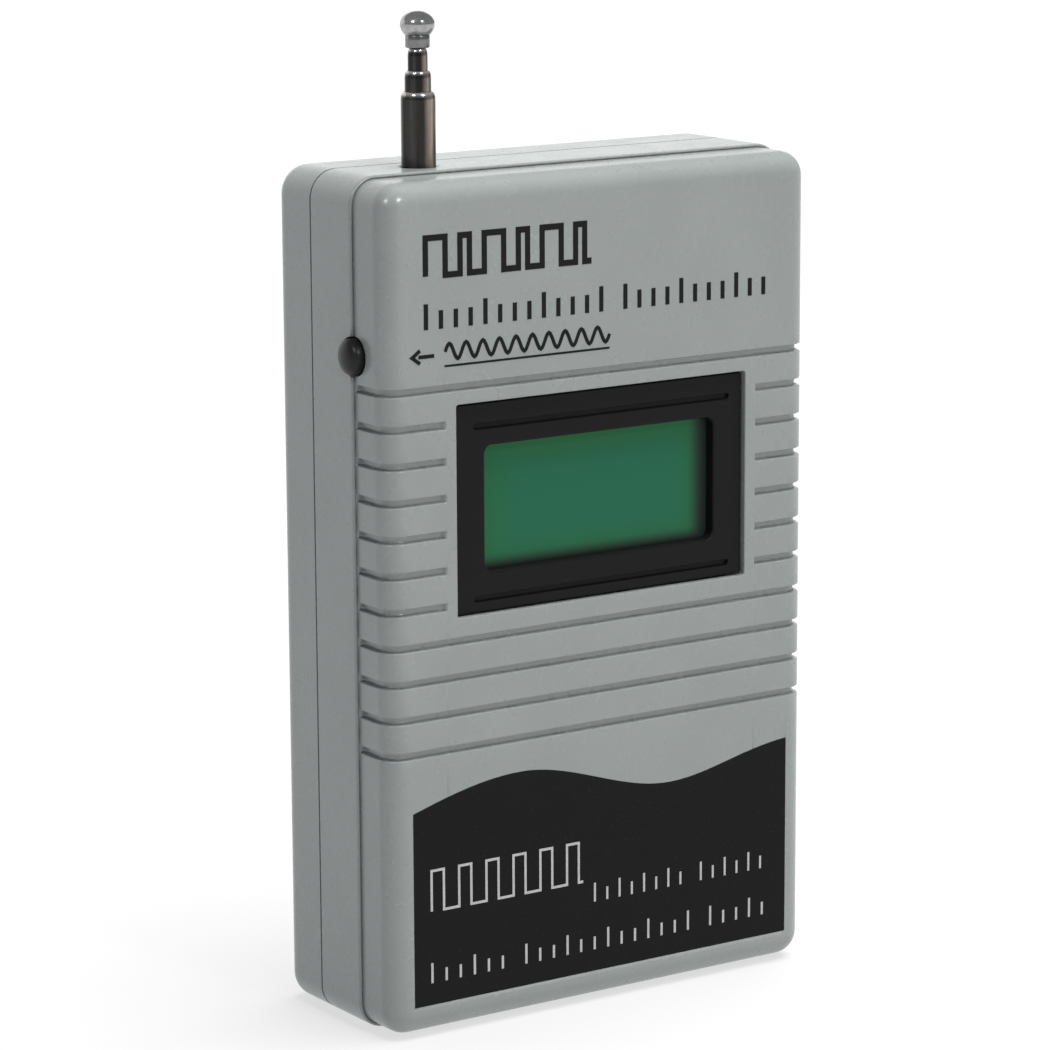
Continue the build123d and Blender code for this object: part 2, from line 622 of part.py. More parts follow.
antenna_base_tube = antenna_tube(BASE, SECOND["outer"] + CRIMP_GAP)
save(antenna_base_tube, "antenna_base_tube")
antenna_second_tube = antenna_tube(SECOND, THIRD["outer"] + CRIMP_GAP)
save(antenna_second_tube, "antenna_second_tube")
antenna_third_tube = antenna_tube(THIRD, ROD["outer"] + CRIMP_GAP)
save(antenna_third_tube, "antenna_third_tube")
antenna_second_collar = antenna_collar(SECOND, BASE["inner"], SECOND["low"])
save(antenna_second_collar, "antenna_second_collar")
antenna_third_collar = antenna_collar(THIRD, SECOND["inner"], THIRD["low"])
save(antenna_third_collar, "antenna_third_collar")
antenna_tip_collar = antenna_collar(ROD, THIRD["inner"], ROD["low"])
save(antenna_tip_collar, "antenna_tip_collar")

with BuildPart() as antenna_tip_rod:
    with BuildSketch(Plane.XY.offset(ROD["low"])):
        with Locations((ANTENNA_X, ANTENNA_Y)):
            Circle(ROD["outer"])
    extrude(amount=ROD["top"] - ROD["low"])
save(antenna_tip_rod, "antenna_tip_rod")

with BuildPart() as antenna_tip_cap:
    with BuildSketch(ANTENNA_PLANE):
        with BuildLine():
            Polyline(
                (0, BALL_TOP_Z),
                (0, ROD["top"]),
                (ROD["outer"], ROD["top"]),
                (ROD["outer"], NECK_Z),
                (NECK_R - 0.1, NECK_Z),
                (NECK_R, NECK_Z + 0.1),
                (NECK_R, BALL_LOW_Z),
                (BALL_R - 0.35, BALL_LOW_Z),
            )
            Spline(
                (BALL_R - 0.35, BALL_LOW_Z),
                (BALL_R, (BALL_LOW_Z + BALL_TOP_Z) / 2 - 0.2),
                (0, BALL_TOP_Z),
                tangents=[(1, 0.5), (0, 1), (-1, 0)],
            )
        make_face()
    revolve(axis=Axis((ANTENNA_X, ANTENNA_Y, 0), (0, 0, 1)))
save(antenna_tip_cap, "antenna_tip_cap")

with BuildPart() as antenna_foot:
    with BuildSketch(Plane.XY.offset(FOOT_LOW_Z)):
        with Locations((ANTENNA_X, (BOARD_BACK_Y + 1.9) / 2)):
            RectangleRounded(6.0, 1.9 - BOARD_BACK_Y, 0.4)
    extrude(amount=FOOT_TOP_Z - FOOT_LOW_Z)
    with BuildSketch(Plane.XY.offset(BASE["low"])):
        with Locations((ANTENNA_X, ANTENNA_Y)):
            Circle(BASE["outer"] + 0.02)
    extrude(amount=FOOT_TOP_Z - BASE["low"], mode=Mode.SUBTRACT)
    with BuildSketch(across(3.0)):
        with Locations((ANTENNA_X, 36.2)):
            Circle(0.85)
    extrude(amount=2.2, mode=Mode.SUBTRACT)
save(antenna_foot, "antenna_foot")

with BuildPart() as antenna_screw:
    with BuildSketch(across(1.9)):
        with Locations((ANTENNA_X, 36.2)):
            Circle(0.8)
    extrude(amount=0.42)
    with BuildSketch(across(1.9)):
        with Locations((ANTENNA_X, 36.2)):
            Circle(1.6)
    extrude(amount=-1.0)
    with BuildSketch(across(2.9)):
        with Locations((ANTENNA_X, 36.2)):
            Rectangle(2.6, 0.4)
    extrude(amount=0.5, mode=Mode.SUBTRACT)
save(antenna_screw, "antenna_screw")

# ================================================================ cells, contacts and leads
def cell(x, plus_z, up):
    """An AAA cell whose positive nub ends at plus_z; up is +1 with the nub at the top."""
    with BuildPart() as body:
        start = Plane(origin=(x, CELL_Y, plus_z), z_dir=(0, 0, -up))
        with BuildSketch(start.offset(0.9)):
            Circle(CELL_R)
        extrude(amount=CELL_L - 1.1)
        fillet(body.edges().filter_by(GeomType.CIRCLE), 0.5)
        with BuildSketch(start):
            Circle(1.9)
        extrude(amount=1.0)
        with BuildSketch(start.offset(CELL_L - 0.5)):
            Circle(3.6)
        extrude(amount=0.5)
    return body


battery_left = cell(-CELL_X, BOX_IN_Z[1] - CONTACT_T, 1)
save(battery_left, "battery_left")
battery_right = cell(CELL_X, BOX_IN_Z[0] + CONTACT_T, -1)
save(battery_right, "battery_right")

with BuildPart() as battery_link_contact:
    with BuildSketch(Plane.XY.offset(BOX_IN_Z[0])):
        with Locations((0, CELL_Y)):
            RectangleRounded(2 * BOX_IN_X - 1.0, 7.6, 0.8)
    extrude(amount=CONTACT_T)
save(battery_link_contact, "battery_link_contact")


def end_contact(x):
    """A plate at the box's upper end with a tab that passes through the wall."""
    with BuildPart() as contact:
        with BuildSketch(Plane.XY.offset(BOX_IN_Z[1] - CONTACT_T)):
            with Locations((x, CELL_Y)):
                RectangleRounded(8.8, 7.6, 0.8)
        extrude(amount=CONTACT_T)
        with BuildSketch(Plane.XY.offset(BOX_IN_Z[1])):
            with Locations((x, CELL_Y)):
                Rectangle(2.0, CONTACT_T)
        extrude(amount=3.4)
    return contact


battery_positive_contact = end_contact(-CELL_X)
save(battery_positive_contact, "battery_positive_contact")
battery_negative_contact = end_contact(CELL_X)
save(battery_negative_contact, "battery_negative_contact")

SPRING_ROOM = BOX_IN_Z[1] - BOX_IN_Z[0] - 2 * CONTACT_T - CELL_L
SPRING_H = SPRING_ROOM - 2 * SPRING_WIRE_R - 0.2


def contact_spring(x, low_z):
    """A coil between a contact plate and the flat end of a cell."""
    with BuildPart() as coil:
        with BuildLine() as path:
            Helix(SPRING_H / SPRING_TURNS, SPRING_H, 3.2, center=(x, CELL_Y, low_z))
        with BuildSketch(Plane(origin=path.line @ 0, z_dir=path.line % 0)):
            Circle(SPRING_WIRE_R)
        sweep(is_frenet=True)
    return coil


spring_left = contact_spring(-CELL_X, BOX_IN_Z[0] + CONTACT_T + SPRING_WIRE_R + 0.1)
spring_right = contact_spring(CELL_X, BOX_IN_Z[1] - CONTACT_T - SPRING_WIRE_R - SPRING_H - 0.1)
with BuildPart() as battery_springs:
    add(spring_left.part)
    add(spring_right.part)
save(battery_springs, "battery_springs")

TAB_TOP_Z = BOX_IN_Z[1] + 3.4


def held_lead(points, name):
    """A short insulated lead from a terminal tab to the board, with round bends."""
    radii = []
    for before, here, after in zip(points, points[1:], points[2:]):
        run_in = Vector(*here) - Vector(*before)
        run_out = Vector(*after) - Vector(*here)
        turn = radians(run_in.get_angle(run_out))
        radii.append(0.45 * min(run_in.length, run_out.length) / tan(turn / 2))
    print(name, "bend radii", [round(radius, 2) for radius in radii])
    with BuildPart() as lead:
        with BuildLine() as path:
            FilletPolyline(*points, radius=radii)
        with BuildSketch(Plane(origin=path.line @ 0, z_dir=path.line % 0)):
            Circle(LEAD_R)
        sweep()
    return lead


battery_lead_red = held_lead(
    [
        (-CELL_X, CELL_Y, TAB_TOP_Z),
        (-CELL_X - 0.3, CELL_Y + 0.3, TAB_TOP_Z + 5.4),
        (-CELL_X + 0.4, CELL_Y - 2.0, TAB_TOP_Z + 9.8),
        (-CELL_X + 0.4, BOARD_BACK_Y, TAB_TOP_Z + 9.8),
    ],
    "battery_lead_red",
)
save(battery_lead_red, "battery_lead_red")
battery_lead_black = held_lead(
    [
        (CELL_X, CELL_Y, TAB_TOP_Z),
        (CELL_X + 0.5, CELL_Y + 0.2, TAB_TOP_Z + 5.8),
        (CELL_X - 0.6, CELL_Y - 1.8, TAB_TOP_Z + 10.4),
        (CELL_X - 0.6, BOARD_BACK_Y, TAB_TOP_Z + 10.4),
    ],
    "battery_lead_black",
)
save(battery_lead_black, "battery_lead_black")
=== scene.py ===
"""Looks of the pocket frequency counter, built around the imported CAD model.

Shapes are written in millimetres, X to the right, Y from front to back, Z up, and turned into
metres by new_object().
"""

import json
import math

import bmesh
import bpy
from mathutils import Matrix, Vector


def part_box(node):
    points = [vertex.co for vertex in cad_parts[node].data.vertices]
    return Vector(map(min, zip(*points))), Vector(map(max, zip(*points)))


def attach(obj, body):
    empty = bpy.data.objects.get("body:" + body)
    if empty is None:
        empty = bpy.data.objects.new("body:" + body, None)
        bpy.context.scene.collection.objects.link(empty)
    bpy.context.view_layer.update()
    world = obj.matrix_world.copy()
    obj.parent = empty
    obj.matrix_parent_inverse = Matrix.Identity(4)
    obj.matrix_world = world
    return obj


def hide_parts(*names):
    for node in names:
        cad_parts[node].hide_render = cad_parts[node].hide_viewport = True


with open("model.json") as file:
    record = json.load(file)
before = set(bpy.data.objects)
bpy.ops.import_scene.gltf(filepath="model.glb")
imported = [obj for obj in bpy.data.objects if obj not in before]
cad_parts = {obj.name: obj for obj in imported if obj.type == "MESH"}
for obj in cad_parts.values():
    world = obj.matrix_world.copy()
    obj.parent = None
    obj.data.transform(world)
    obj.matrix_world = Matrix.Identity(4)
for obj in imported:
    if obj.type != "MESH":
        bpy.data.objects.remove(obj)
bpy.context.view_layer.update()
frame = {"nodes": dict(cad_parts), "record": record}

MM = 0.001


def box_mm(node):
    """Lowest and highest corners of a CAD node, in millimetres."""
    low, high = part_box(node)
    return [c / MM for c in low], [c / MM for c in high]


# ---------------------------------------------------------------- sizes read from the CAD model
FRONT_LOW, FRONT_HIGH = box_mm("front_shell")
LABEL_LOW, LABEL_HIGH = box_mm("front_label")
GLASS_LOW, GLASS_HIGH = box_mm("lcd_glass")
POLAR_LOW, POLAR_HIGH = box_mm("lcd_polarizer")
FRAME_LOW, FRAME_HIGH = box_mm("display_frame")
BUTTON_LOW, BUTTON_HIGH = box_mm("button_cap")

ANTENNA_LOW, ANTENNA_HIGH = box_mm("antenna_base_tube")
ANTENNA_X = (ANTENNA_LOW[0] + ANTENNA_HIGH[0]) / 2
ANTENNA_Y = (ANTENNA_LOW[1] + ANTENNA_HIGH[1]) / 2
ROD_TOP = box_mm("antenna_tip_rod")[1][2]
HALF_X = FRONT_HIGH[0]
TOP_Z = FRONT_HIGH[2]
FRONT_Y = FRONT_LOW[1]
PARTING_Y = FRONT_HIGH[1]

# ---------------------------------------------------------------- sizes of the mouldings
PRINT_T = 0.03  # thickness of the printed marks, which end flush with the CAD face
FACE_Y = FRONT_Y + PRINT_T
STEP_Y = -4.8  # where the raised front meets the band behind it
SEAM_Y = PARTING_Y + 0.12  # the front shell reaches into the seam and leaves a hairline
INSET = 0.4  # how far the raised front stands in from the band
CORNER_R = 3.2
FACE_R = 2.5
WALL_INSET = 2.35
INNER_FRONT_Y = -9.0
INNER_MARGIN_Z = 2.0  # thickness of the bottom and top walls
INNER_CORNER_R = 1.4
GROOVE_TOPS = [72.7 - 4.0 * k for k in range(11)]
SHORT_GROOVES = range(1, 7)  # the ones that stop beside the display
SHORT_X = 20.8  # where they stop
SHORT_RISE = 0.12  # width of their ends
GROOVE_D = 0.6
# Down from a groove's upper edge, and the share of its depth there.
GROOVE_SECTION = [
    (-0.10, 0.0), (-0.03, 0.04), (0.02, 0.18), (0.05, 0.52), (0.08, 0.86), (0.14, 0.98),
    (0.24, 1.0), (0.58, 1.0), (0.68, 0.95), (0.75, 0.78), (0.80, 0.50), (0.85, 0.22),
    (0.91, 0.06), (1.00, 0.0),
]
OPENING_HALF_X = 19.4
OPENING_HALF_Z = 11.75
OPENING_Z = 58.6
FRAME_GAP = 0.2  # between the opening and the display frame in it
WINDOW_HALF_X = 15.4
WINDOW_HALF_Z = 6.95
WINDOW_Z = 58.45
BUTTON_HOLE_R = 2.2
ANTENNA_HOLE_R = 2.1
ANTENNA_HOLE_LIP = 0.2  # chamfer at the top of the antenna's hole

# ---------------------------------------------------------------- sizes of the antenna
ROLL_H = 0.9  # height of the rolled mouth of each tube
MOUTH_RING = 0.06  # flat ring between the roll and the bore of the mouth
THROAT_H = 1.2  # length of the narrow bore in the mouth
THROAT_END_H = 1.45  # depth at which the bore is wide again
BALL_LOW = 109.25  # where the ball meets its neck
BALL_MIDDLE = 110.42  # where the ball is widest


# ================================================================ mesh helpers
def new_object(name, verts, faces):
    """A mesh object from points in millimetres, with its normals turned outwards."""
    mesh = bpy.data.meshes.new(name)
    mesh.from_pydata([(x * MM, y * MM, z * MM) for x, y, z in verts], [], faces)
    obj = bpy.data.objects.new(name, mesh)
    bpy.context.scene.collection.objects.link(obj)
    work = bmesh.new()
    work.from_mesh(mesh)
    bmesh.ops.remove_doubles(work, verts=work.verts, dist=1e-7)
    bmesh.ops.dissolve_degenerate(work, edges=work.edges, dist=1e-8)
    bmesh.ops.recalc_face_normals(work, faces=work.faces)
    work.to_mesh(mesh)
    work.free()
    return obj


def boolean(obj, cutter, operation="DIFFERENCE"):
    """Cut cutter out of obj, or join it, and remove cutter."""
    step = obj.modifiers.new("cut", "BOOLEAN")
    step.operation = operation
    step.solver = "EXACT"
    step.object = cutter
    bpy.context.view_layer.update()
    done = bpy.data.meshes.new_from_object(obj.evaluated_get(bpy.context.evaluated_depsgraph_get()))
    obj.modifiers.clear()
    old = obj.data
    obj.data = done
    bpy.data.meshes.remove(old)
    bpy.data.objects.remove(cutter)
    return obj


def smooth(obj, angle=35.0):
    """Smooth shading that keeps flat faces flat and corners above the angle crisp."""
    obj.data.shade_smooth()
    obj.data.set_sharp_from_angle(angle=math.radians(angle))
    normals = obj.modifiers.new("normals", "WEIGHTED_NORMAL")
    normals.keep_sharp = True
    normals.weight = 100
    return obj


def rounded_outline(inset, radius, half_x, low_z, high_z, x_levels, z_levels, arc_steps):
    """A rounded rectangle, from its bottom left to its bottom right and on, as (x, z, on_side)."""
    r = max(radius - inset, 0.0)
    corner_x = half_x - radius
    points = [(x, low_z + inset, False) for x in x_levels]

    def arc(centre_x, centre_z, start):
        for step in range(1, arc_steps):
            angle = math.radians(start + 90.0 * step / arc_steps)
            points.append((centre_x + r * math.cos(angle), centre_z + r * math.sin(angle), False))

    arc(corner_x, low_z + radius, -90)
    points.extend((half_x - inset, z, True) for z in z_levels)
    arc(corner_x, high_z - radius, 0)
    points.extend((x, high_z - inset, False) for x in reversed(x_levels))
    arc(-corner_x, high_z - radius, 90)
    points.extend((inset - half_x, z, True) for z in reversed(z_levels))
    arc(-corner_x, low_z + radius, 180)
    return points


def bridge(faces, ring_a, ring_b):
    """Quads between two closed rings of vertex numbers."""
    count = len(ring_a)
    for i in range(count):
        j = (i + 1) % count
        faces.append((ring_a[i], ring_a[j], ring_b[j], ring_b[i]))


def slab(name, half_x, low_z, high_z, radius, profile, centre_x=0.0, arc_steps=6):
    """A solid with a rounded outline, stacked along Y: profile is (inset, y) from front to back."""
    x_levels = [radius - half_x, half_x - radius]
    z_levels = [low_z + radius, high_z - radius]
    verts = []
    faces = []
    rings = []
    for inset, y in profile:
        outline = rounded_outline(
            inset, radius, half_x, low_z, high_z, x_levels, z_levels, arc_steps
        )
        rings.append(range(len(verts), len(verts) + len(outline)))
        verts.extend((x + centre_x, y, z) for x, z, _ in outline)
    for ring_a, ring_b in zip(rings, rings[1:]):
        bridge(faces, ring_a, ring_b)
    faces.append(tuple(rings[0]))
    faces.append(tuple(reversed(rings[-1])))
    return new_object(name, verts, faces)


def quarter(inset, y, radius, steps):
    """(inset, y) points of a rounded edge: from the wall at inset round to the face at y."""
    points = []
    for step in range(steps + 1):
        a = math.radians(90.0 * step / steps)
        points.append((inset + radius * (1 - math.cos(a)), y + radius * (1 - math.sin(a))))
    return points


def lathe(name, profile, axis="Z", centre=(0.0, 0.0), segments=64):
    """A solid turned about an axis along Z or X: profile is a closed loop of (radius, place)."""
    verts = []
    faces = []
    rings = []
    for r, along in profile:
        rings.append(range(len(verts), len(verts) + segments))
        for k in range(segments):
            a = 2 * math.pi * k / segments
            u = centre[0] + r * math.cos(a)
            v = centre[1] + r * math.sin(a)
            verts.append((u, v, along) if axis == "Z" else (along, u, v))
    for ring_a, ring_b in zip(rings, rings[1:] + rings[:1]):
        bridge(faces, ring_a, ring_b)
    return new_object(name, verts, faces)


# ================================================================ material helpers
class Nodes:
    """A short way to write a node material."""

    def __init__(self, name):
        self.material = bpy.data.materials.new(name)
        self.material.use_nodes = True
        self.tree = self.material.node_tree
        self.tree.nodes.clear()
        self.shader = self.add("ShaderNodeBsdfPrincipled")
        self.out = self.add("ShaderNodeOutputMaterial")
        self.link(self.shader, "BSDF", self.out, "Surface")
        self.place = self.add("ShaderNodeTexCoord")

    def add(self, kind, **settings):
        """A node and its settings; a name that begins with in_ sets the input of that name."""
        node = self.tree.nodes.new(kind)
        for key, value in settings.items():
            if key.startswith("in_"):
                node.inputs[key[3:].replace("_", " ")].default_value = value
            else:
                setattr(node, key, value)
        return node

    def link(self, a, a_out, b, b_in):
        self.tree.links.new(a.outputs[a_out], b.inputs[b_in])

    def set(self, **values):
        """Set inputs of the surface shader."""
        for key, value in values.items():
            self.shader.inputs[key.replace("_", " ")].default_value = value
        return self

    def noise(self, size_mm, detail=2.0, roughness=0.5, stretch=None):
        """Noise of a real size, in object space."""
        node = self.add("ShaderNodeTexNoise", in_Scale=1.0 / (size_mm * MM), in_Detail=detail,
                        in_Roughness=roughness)
        if stretch:
            mapping = self.add("ShaderNodeMapping", in_Scale=stretch)
            self.link(self.place, "Object", mapping, "Vector")
            self.link(mapping, "Vector", node, "Vector")
        else:
            self.link(self.place, "Object", node, "Vector")
        return node

    def ramp(self, source, output, stops):
        """A colour ramp through (position, colour) stops."""
        node = self.add("ShaderNodeValToRGB")
        elements = node.color_ramp.elements
        for position, _ in stops[2:]:
            elements.new(position)
        for element, (position, colour) in zip(elements, stops):
            element.position = position
            element.color = colour if len(colour) == 4 else (*colour, 1.0)
        self.link(source, output, node, "Fac")
        return node

    def span(self, source, output, start, end, interpolation="SMOOTHSTEP"):
        """0 where the source is at start and 1 where it is at end."""
        node = self.add("ShaderNodeMapRange", interpolation_type=interpolation)
        node.inputs["From Min"].default_value = start
        node.inputs["From Max"].default_value = end
        self.link(source, output, node, "Value")
        return node

    def multiply(self, a, a_out, b, b_out, factor=1.0):
        """Colour a, multiplied by colour b as far as factor says."""
        node = self.add("ShaderNodeMix", data_type="RGBA", blend_type="MULTIPLY")
        node.inputs["Factor"].default_value = factor
        self.link(a, a_out, node, "A")
        self.link(b, b_out, node, "B")
        return node

    def axes(self):
        """X, Y and Z in object space."""
        node = self.add("ShaderNodeSeparateXYZ")
        self.link(self.place, "Object", node, "Vector")
        return node

    def gloss(self, source, low, high, spread=0.2):
        """Roughness from low to high, as a noise goes through the middle of its range."""
        tone = self.ramp(source, "Fac", [(0.5 - spread, grey(low)), (0.5 + spread, grey(high))])
        self.link(tone, "Color", self.shader, "Roughness")

    def bump(self, layers):
        """Bumps laid over one another: (height node, its output, strength, height in mm)."""
        previous = None
        for node, output, strength, height_mm in layers:
            step = self.add("ShaderNodeBump", in_Strength=strength, in_Distance=height_mm * MM)
            self.link(node, output, step, "Height")
            if previous:
                self.link(previous, "Normal", step, "Normal")
            previous = step
        self.link(previous, "Normal", self.shader, "Normal")


def grey(value):
    return (value, value, value)


def scaled(colour, factor):
    return tuple(min(1.0, c * factor) for c in colour)


def moulded(
    name, colour, rough=(0.36, 0.46), grain_mm=0.12, grain=0.35, wear_and_sheen=0.06, specular=0.5
):
    """Moulded plastic: a fine spark-eroded grain, faint clouding, and convex edges lightened partly
    as slight rubbing and partly as a painted highlight.
    """
    m = Nodes(name)
    cloud = m.noise(9.0, detail=4.0)
    tint = m.ramp(cloud, "Fac", [(0.3, scaled(colour, 0.97)), (0.7, scaled(colour, 1.03))])
    edge = m.add("ShaderNodeNewGeometry")
    # lighter convex edges: partly wear, partly a painted highlight on the lips
    rubbed_edges_and_sheen = m.ramp(edge, "Pointiness", [(0.515, grey(0.0)), (0.60, grey(1.0))])
    mix = m.add("ShaderNodeMix", data_type="RGBA")
    amount = m.add("ShaderNodeMath", operation="MULTIPLY")
    amount.inputs[1].default_value = wear_and_sheen
    m.link(rubbed_edges_and_sheen, "Color", amount, 0)
    m.link(amount, 0, mix, "Factor")
    m.link(tint, "Color", mix, "A")
    mix.inputs["B"].default_value = (*scaled(colour, 1.35), 1.0)
    m.link(mix, "Result", m.shader, "Base Color")
    fine = m.noise(grain_mm, detail=1.0)
    m.gloss(m.noise(3.2, detail=3.0), *rough)
    m.bump([(fine, "Fac", grain, 0.012), (cloud, "Fac", 0.15, 0.05)])
    return m.set(Specular_IOR_Level=specular).material


def metal(name, colour, rough=(0.2, 0.35), streak=(1.0, 1.0, 1.0), grain_mm=0.3, scratch=0.25):
    """Bare or plated metal, with drawn streaks, uneven gloss and fine scratches."""
    m = Nodes(name)
    tone = m.noise(grain_mm, detail=3.0, stretch=streak)
    tint = m.ramp(tone, "Fac", [(0.3, scaled(colour, 0.8)), (0.7, scaled(colour, 1.15))])
    m.link(tint, "Color", m.shader, "Base Color")
    m.gloss(m.noise(2.0, detail=4.0), *rough, spread=0.15)
    m.bump([(tone, "Fac", scratch, 0.004)])
    return m.set(Metallic=1.0).material


# ================================================================ materials
CASE_GREY = (0.228, 0.248, 0.242)


def case_plastic():
    """Satin grey moulding with a very fine grain."""
    return moulded(
        "case_plastic", CASE_GREY, rough=(0.24, 0.31), grain_mm=0.09, grain=0.22, wear_and_sheen=0.03
    )


def label_film():
    """Matte black film with a faint emboss and a few dust specks."""
    m = Nodes("label_film")
    speck = m.noise(0.25, detail=2.0)
    tint = m.ramp(speck, "Fac", [(0.62, grey(0.007)), (0.74, grey(0.02))])
    m.link(tint, "Color", m.shader, "Base Color")
    m.gloss(m.noise(6.0, detail=4.0), 0.42, 0.52)
    fine = m.noise(0.07, detail=1.0)
    m.bump([(fine, "Fac", 0.3, 0.006)])
    return m.set(Specular_IOR_Level=0.08).material


def display_film():
    """The green film: teal in the middle, yellower at its rim, dark where the frame shades it."""
    m = Nodes("display_film")
    cloud = m.noise(14.0, detail=2.0)
    axes = m.axes()

    def distance_from(axis, middle, half, start, end):
        """0 in the middle of the window and 1 towards its rim, along one axis."""
        shift = m.add("ShaderNodeMath", operation="SUBTRACT")
        shift.inputs[1].default_value = middle * MM
        m.link(axes, axis, shift, 0)
        size = m.add("ShaderNodeMath", operation="ABSOLUTE")
        m.link(shift, 0, size, 0)
        return m.span(size, 0, (half - start) * MM, (half - end) * MM)

    rim_x = distance_from("X", 0.0, WINDOW_HALF_X, 6.5, -0.5)
    rim_z = distance_from("Z", WINDOW_Z, WINDOW_HALF_Z, 4.0, -0.5)
    rim = m.add("ShaderNodeMath", operation="MAXIMUM")
    m.link(rim_x, "Result", rim, 0)
    m.link(rim_z, "Result", rim, 1)
    clouded = m.add("ShaderNodeMath", operation="MULTIPLY_ADD", use_clamp=True)
    clouded.inputs[1].default_value = 0.9
    clouded.inputs[2].default_value = -0.45
    m.link(cloud, "Fac", clouded, 0)
    rim_clouded = m.add("ShaderNodeMath", operation="ADD", use_clamp=True)
    m.link(rim, 0, rim_clouded, 0)
    m.link(clouded, 0, rim_clouded, 1)
    tint = m.ramp(rim_clouded, 0, [(0.0, (0.0100, 0.103, 0.055)), (1.0, (0.0125, 0.104, 0.036))])

    def shade_beyond(axis, edge, start, end):
        """1 inside the film and 0 past its edge, with a soft change between."""
        return m.span(axes, axis, (edge + end) * MM, (edge + start) * MM)

    right = shade_beyond("X", WINDOW_HALF_X, -2.9, -0.9)
    low = shade_beyond("Z", WINDOW_Z - WINDOW_HALF_Z, 1.6, 0.1)
    both = m.add("ShaderNodeMath", operation="MULTIPLY")
    m.link(right, "Result", both, 0)
    m.link(low, "Result", both, 1)
    mix = m.add("ShaderNodeMix", data_type="RGBA")
    mix.inputs["A"].default_value = (0.014, 0.024, 0.019, 1.0)
    m.link(both, 0, mix, "Factor")
    m.link(tint, "Color", mix, "B")
    m.link(mix, "Result", m.shader, "Base Color")
    fine = m.noise(0.05, detail=1.0)
    m.gloss(fine, 0.26, 0.34)
    m.bump([(cloud, "Fac", 0.2, 0.02), (fine, "Fac", 0.1, 0.002)])
    return m.set(Specular_IOR_Level=0.15).material


def display_glass():
    """The glass cell behind the film."""
    m = Nodes("display_glass")
    cloud = m.noise(5.0)
    tint = m.ramp(cloud, "Fac", [(0.3, (0.50, 0.58, 0.53)), (0.7, (0.56, 0.64, 0.58))])
    m.link(tint, "Color", m.shader, "Base Color")
    m.gloss(cloud, 0.03, 0.07)
    return m.set(Transmission_Weight=0.85, IOR=1.5).material


def striped(name, colour_a, colour_b, pitch_mm, axis, rough, height_mm=0.01):
    """Fine even stripes across one axis, as in a layered or woven material."""
    m = Nodes(name)
    scale = math.pi / (10 * pitch_mm * MM)
    wave = m.add("ShaderNodeTexWave", bands_direction=axis, in_Scale=scale)
    wave.inputs["Distortion"].default_value = 0.4
    wave.inputs["Detail"].default_value = 2.0
    m.link(m.place, "Object", wave, "Vector")
    tint = m.ramp(wave, "Fac", [(0.35, colour_a), (0.65, colour_b)])
    m.link(tint, "Color", m.shader, "Base Color")
    cloud = m.noise(3.0, detail=3.0)
    m.gloss(cloud, rough * 0.85, rough * 1.15)
    m.bump([(wave, "Fac", 0.4, height_mm), (cloud, "Fac", 0.1, height_mm)])
    return m.material


# Painted reflections on the drawn nickel round the antenna: dark, grey and brown bands that stand
# in for what the tube reflects, as (turn from 0 to 1, colour).
NICKEL_PAINTED_REFLECTIONS = [
    (0.00, (0.022, 0.022, 0.023)), (0.06, (0.050, 0.049, 0.048)), (0.10, (0.078, 0.075, 0.072)),
    (0.15, (0.038, 0.037, 0.036)), (0.21, (0.036, 0.034, 0.033)), (0.25, (0.230, 0.190, 0.166)),
    (0.30, (0.470, 0.385, 0.330)), (0.34, (0.070, 0.060, 0.052)), (0.37, (0.022, 0.021, 0.020)),
    (0.46, (0.100, 0.096, 0.090)), (0.56, (0.200, 0.190, 0.175)), (0.63, (0.034, 0.033, 0.032)),
    (0.73, (0.140, 0.125, 0.110)), (0.81, (0.050, 0.048, 0.046)), (0.90, (0.110, 0.105, 0.100)),
    (1.00, (0.022, 0.022, 0.023)),
]


def antenna_nickel(name, tone):
    """Dark nickel with fine lengthwise grey streaks, painted reflections as dark, grey and brown
    bands round the tube, and a painted highlight where the surface faces up, as on the rolled
    mouths.
    """
    m = Nodes(name)
    centre = m.add("ShaderNodeMapping")
    centre.inputs["Location"].default_value = (-ANTENNA_X * MM, -ANTENNA_Y * MM, 0.0)
    m.link(m.place, "Object", centre, "Vector")
    turn = m.add("ShaderNodeTexGradient", gradient_type="RADIAL")
    m.link(centre, "Vector", turn, "Vector")
    # painted reflections: fixed dark, grey and brown bands round the axis, in place of the
    # surroundings the metal reflects
    painted_reflections = m.ramp(turn, "Fac", NICKEL_PAINTED_REFLECTIONS)
    streak = m.noise(0.35, detail=3.0, roughness=0.6, stretch=(1.0, 1.0, 0.02))
    fine = m.ramp(streak, "Fac", [(0.35, grey(0.70 * tone)), (0.65, grey(tone))])
    mix = m.multiply(painted_reflections, "Color", fine, "Color")
    surface = m.add("ShaderNodeNewGeometry")
    facing = m.add("ShaderNodeSeparateXYZ")
    m.link(surface, "Normal", facing, "Vector")
    # painted highlight: surfaces that face up are coloured pale grey, as the rolled mouths catch
    # light from above
    faces_up_mask = m.span(facing, "Z", 0.10, 0.50)
    painted_top_highlight = m.add("ShaderNodeMix", data_type="RGBA")
    painted_top_highlight.inputs["B"].default_value = (0.60, 0.58, 0.56, 1.0)
    m.link(faces_up_mask, "Result", painted_top_highlight, "Factor")
    m.link(mix, "Result", painted_top_highlight, "A")
    m.link(painted_top_highlight, "Result", m.shader, "Base Color")
    m.gloss(m.noise(1.2, detail=4.0), 0.16, 0.27, spread=0.15)
    m.bump([(streak, "Fac", 0.15, 0.006)])
    return m.set(Metallic=1.0).material


